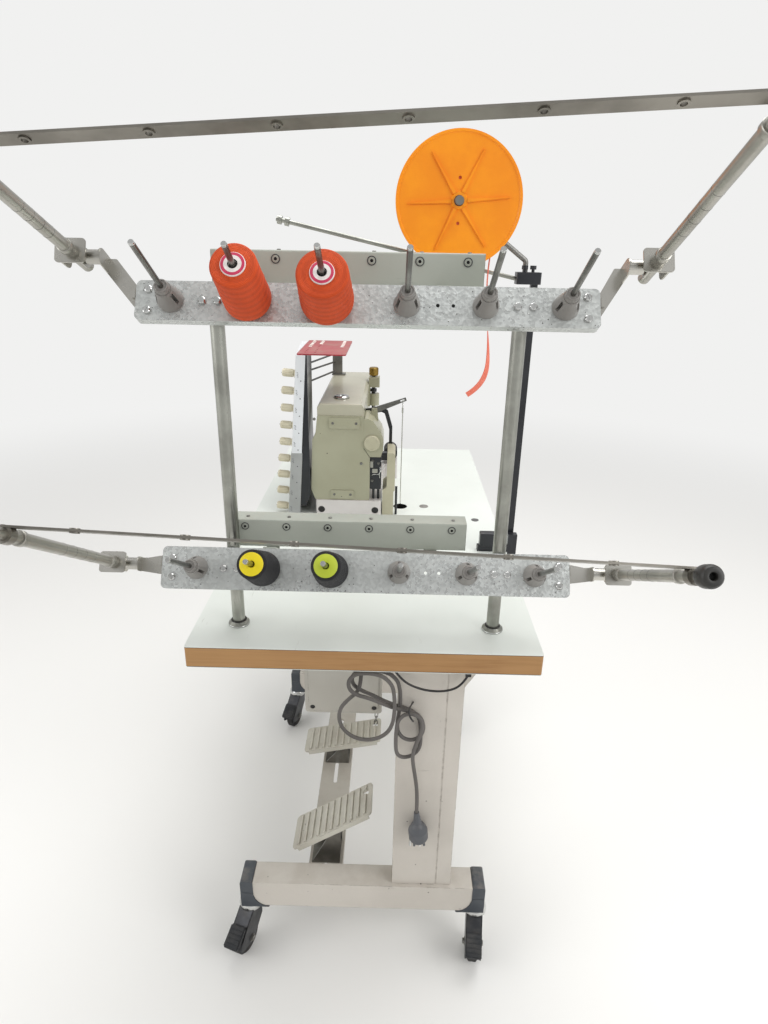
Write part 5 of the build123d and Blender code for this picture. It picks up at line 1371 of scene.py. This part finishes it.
def pedal_bolts():
    """Nuts on the pedal brackets' pins and heads in the rail's slots."""
    nuts, heads = [], []
    for x, y, z in ((-60, 136, 246), (-65, 432, 206)):
        for side in (-1, 1):
            nuts.append((at(x, y + side * 32, z), Y * side, 0.2))
            heads.append((at(-82, y + side * 18, 161), Z, 0.5))
    grow("pedal_pin_nuts", "screw_head", nuts, "dull", washer_radius=0.009, head_radius=0.0072,
         head_height=0.005, **HEX)
    grow("bracket_bolts", "screw_head", heads, "dull", washer_radius=0.0095, head_radius=0.007,
         head_height=0.005, **HEX)


def beam_bolts():
    """Bolts of the cross beam's end plates."""
    spots = [(at(x, y, z), out, 0.3) for y, out in ((82, Y), (738, -Y)) for x in (95, 143) for z in (376, 424)]
    grow("beam_bolts", "screw_head", spots, "dull", washer_radius=0.0075, head_radius=0.0058,
         head_height=0.004, **HEX)


def housing_and_cap():
    """The shaft housing and its bracket in the head's enamel with its painted shade, the round cap in plain beige."""
    cap, *rest = sorted(islands("rear_housing"), key=lambda part: min(v.co.y for v in part.verts))
    add_piece("shaft_housing", rest, "head", stands_for="rear_housing")
    add_piece("shaft_cap", cap, "beige")


def reel_strut():
    """Bright guide rod for the tape and the darker bent rod that carries the reel."""
    guide, strut = sorted(islands("reel_rods"), key=lambda part: min(v.co.x for v in part.verts))
    add_piece("tape_guide", guide, "post", stands_for="reel_rods")
    add_piece("reel_strut", strut, "dull")


def lifting_chain():
    """Wire from the lifter's lever through the table, then a chain down to its pedal."""
    top_point, low, neck, foot = at(64.7, 674, 1043.4), at(64.7, 674, 705), at(14.5, 452, 258), at(14.5, 452, 228)
    hook = wire([top_point + Vector(p) / 1000 for p in ((0, -10.5, 1.2), (0, -10.5, -2.4), (0, -5, -3.4), (0, 0, 0),
                                                        (0, 3.4, -3), (0, 3.4, -9), (0, 0, -14), (0, 0, -20))], 1.3)
    strand = bar(top_point - Z * 0.0175, low - Z * 0.002, 1.3, 12)
    sleeve = bar(top_point - Z * 0.034, top_point - Z * 0.020, 2.4, 16)
    eye = lathe(((0, 0), (2.6, 0), (3, 0.6), (3, 11.4), (2.6, 12), (0, 12)), low - Z * 0.008, Matrix.Identity(3), 16)
    end = lathe(((0, -1.4), (8.2, -1.4), (9, -0.8), (9, 0.8), (8.2, 1.4), (3, 1.6), (2.2, 3), (2.2, 13), (1.4, 14),
                 (0, 14)), foot, Matrix.Identity(3), 28)
    add_piece("lifting_wire", [hook, strand, sleeve, eye, end], "bright", "lifting_chain", stands_for="lift_chain")
    grow("lifting_links", "chain_links", [(low - Z * 0.006,), (neck,), (foot + Z * 0.0185,)], "dull", "lifting_chain",
         "bright_steel", True)


# ---- Cords and the elastic

LEAD = ((-5, 120, -22), (-5, 97, -22), (-6, 71, -20), (-6, 48, -24), (-5, 32, -38), (-9, 23, -58))
BIG_LOOP = ((-26, 22, -74), (-40, 23, -92), (-45, 24, -116), (-38, 24, -141), (-20, 23, -158), (4, 22, -164),
            (28, 19, -156), (45, 15, -138), (53, 13, -114))
FRONT_TURN = ((55, 13, -88), (54, 13, -60), (50, 13.5, -36), (33, 14, -18), (10, 14, -13), (-13, 14, -15),
              (-26, 14, -28), (-26, 14, -46), (-13, 14, -59), (10, 15, -66), (34, 17.5, -79), (57, 20.5, -91))
SMALL_LOOP = ((80, 20.5, -95), (99, 20.5, -104), (108, 20.5, -124), (106, 20.5, -146), (93, 20.5, -159),
              (75, 21, -159), (62, 23, -146), (60, 25.5, -126), (63, 28, -104))
BACK_TURN = ((65, 28, -82), (64, 28, -58), (59, 28.5, -37), (43, 29, -22), (20, 30, -18), (-8, 33, -20),
             (-21, 34, -33), (-21, 35, -51), (-8, 35.5, -64), (16, 35.5, -75), (40, 35.5, -89), (64, 35.5, -98))
LONG_LOOP = ((88, 35.5, -106), (102, 35.5, -126), (104, 35, -156), (104, 32, -187), (91, 27, -200), (73, 20, -200),
             (60, 14.5, -187), (58, 13, -158), (59, 13, -132), (61, 13, -110), (74, 13, -96), (92, 13, -96),
             (105, 13, -109), (104, 13, -132))
DROP = ((96, 13, -158), (89, 13.5, -186), (92, 16, -216), (98, 18.5, -252), (102, 18.5, -290), (102, 18.5, -328))
BLACK_LEAD = ((52, 24, -12), (66, 24, -33), (88, 24, -47), (116, 24, -55), (146, 24, -54), (170, 24, -42),
              (180, 24, -20))


def smooth_line(name, points, radius):
    """One open smooth curve through the route's points."""
    data = bpy.data.curves.new(name, "CURVE")
    data.dimensions = "3D"
    data.resolution_u = 10
    spline = data.splines.new("NURBS")
    spline.points.add(len(points) - 1)
    for point, place in zip(spline.points, points):
        point.co = (*place, 1)
    spline.order_u = 3
    spline.use_endpoint_u = True
    data.bevel_depth = radius
    data.bevel_resolution = 4
    data.use_fill_caps = radius > 0
    line = bpy.data.objects.new(name, data)
    bpy.context.scene.collection.objects.link(line)
    return line


def line_mesh(points, radius=0.0):
    """The plain mesh of a smooth curve, without the curve."""
    line = smooth_line("route", points, radius)
    data = line.data
    mesh = bpy.data.meshes.new_from_object(line)
    bpy.data.objects.remove(line)
    bpy.data.curves.remove(data)
    return mesh


def line_points(points):
    """Points read from the route's own smooth curve."""
    mesh = line_mesh(points)
    places = [vert.co.copy() for vert in mesh.vertices]
    bpy.data.meshes.remove(mesh)
    return places


def run_length(points):
    """The length along a row of points."""
    return sum((b - a).length for a, b in zip(points, points[1:]))


def lead_piece(name, route, radius, material, slot, *stands_for):
    """A round lead along its route, left as one smooth line."""
    lead = smooth_line(name, route, radius)
    lead.data.materials.append(FINISH[material])
    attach(lead, "stand")
    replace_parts(lead, *stands_for)
    return lead


def mains_lead():
    """Grey lead from the control box, in its loose hank, down to the plug."""
    route = [below(*p) for p in LEAD + BIG_LOOP + FRONT_TURN + SMALL_LOOP + BACK_TURN + LONG_LOOP + DROP]
    length = run_length(line_points(route))
    lead = lead_piece("mains_lead", route, 0.0035, "cord", "cord_grey", "mains_cord", "cord_hank")
    tie = twisted_tie()
    pins = add_piece("plug_pins", [bar(at(x, 18.5, 331.6), at(x, 18.5, 311.6), 2.6) for x in (92.5, 111.5)], "bright")


def twisted_tie():
    """Black tie wire round the hank's knot."""
    work = bmesh.new()
    centre = below(84, 22, -98)
    high, deep, thick, steps, sides = 0.0146, 0.0185, 0.0016, 40, 8
    rings = []
    for number in range(steps):
        angle = 2 * math.pi * number / steps
        middle = centre + Vector((0.004 * math.sin(2 * angle), deep * math.cos(angle), high * math.sin(angle)))
        out = Vector((0, math.cos(angle), math.sin(angle)))
        ring = []
        for k in range(sides):
            turn = 2 * math.pi * k / sides
            ring.append(work.verts.new(middle + out * thick * math.cos(turn) + X * thick * math.sin(turn)))
        rings.append(ring)
    for number in range(steps):
        one, two = rings[number], rings[(number + 1) % steps]
        for k in range(sides):
            after = (k + 1) % sides
            work.faces.new((one[k], one[after], two[after], two[k]))
    bmesh.ops.recalc_face_normals(work, faces=work.faces)
    return add_piece("hank_tie", work, "cable", crease=35)


def black_lead():
    """Thin black lead that sags between two clips."""
    route = [below(*p) for p in BLACK_LEAD]
    lead = lead_piece("black_lead", route, 0.002, "cable", "cord_black", "black_cable")
    run_length(line_points(route))


TAPE_FALL = ((67.8, 0), (67.8, -60), (62, -130), (66, -190), (75, -262), (76, -312), (58, -345), (38, -358))


def hanging_elastic():
    """The free end of the elastic, as a thin flat band."""
    route = [at(REEL_X + x, 411.5, REEL_Z + z) for x, z in TAPE_FALL]
    middle = line_points(route)
    work = bmesh.new()
    layer = work.loops.layers.uv.new("weave")
    half, thin = 0.006, 0.0006
    full_twist, twist_start, twist_run = 1.15, 0.45, 0.35
    rows, runs = [], [0.0]
    for number, spot in enumerate(middle):
        before, after = middle[max(number - 1, 0)], middle[min(number + 1, len(middle) - 1)]
        along = (after - before).normalized()
        twist = full_twist * min(max((number / len(middle) - twist_start) / twist_run, 0.0), 1.0)
        out = along.cross(Y).normalized()
        wide = (Y * math.cos(twist) + out * math.sin(twist)).normalized()
        out = along.cross(wide).normalized()
        rows.append([work.verts.new(spot + wide * w + out * t) for w, t in (
            (-half, -thin), (half, -thin), (half, thin), (-half, thin))])
        if number:
            runs.append(runs[-1] + (spot - middle[number - 1]).length)
    for number in range(len(rows) - 1):
        one, two = rows[number], rows[number + 1]
        for k, (u0, u1) in enumerate(((0, 1), (1, 1), (1, 0), (0, 0))):
            face = work.faces.new((one[k], one[(k + 1) % 4], two[(k + 1) % 4], two[k]))
            for loop, uv in zip(face.loops, ((u0, runs[number]), (u1, runs[number]), (u1, runs[number + 1]),
                                             (u0, runs[number + 1]))):
                loop[layer].uv = uv
    work.faces.new(rows[0][::-1])
    work.faces.new(rows[-1])
    bmesh.ops.recalc_face_normals(work, faces=work.faces)
    band = add_piece("hanging_elastic", work, "tape", crease=60, stands_for="elastic_tape")


bpy.context.scene.view_settings.view_transform = "Standard"
photo_camera()
pale_world()
pale_floor()
lamp("ceiling_lamp", (0.5, 0.6, 3.8), (0, 0.1, 0.8), 2.6, 80)
lamp("window_lamp", (2.6, -1.9, 2.4), (0, 0, 0.9), 2.0, 46)
lamp("fill_lamp", (-2.8, -1.2, 2.0), (0, 0, 0.8), 2.2, 30)
dress_nodes()
mains_lead()
black_lead()
hanging_elastic()
thread_cones()
deck_hardware()
strap_pieces()
guide_rails()
frame_arms("upper")
frame_arms("lower")
reel_strut()
reel_details()
tension_knobs()
panel_body()
panel_marks()
lid_and_cap()
housing_and_cap()
tray_eyes()
head_screws()
crank_details()
table_caps()
box_screws()
post_collars()
caster_details()
foot_skirts()
pedal_bolts()
beam_bolts()
lifting_chain()
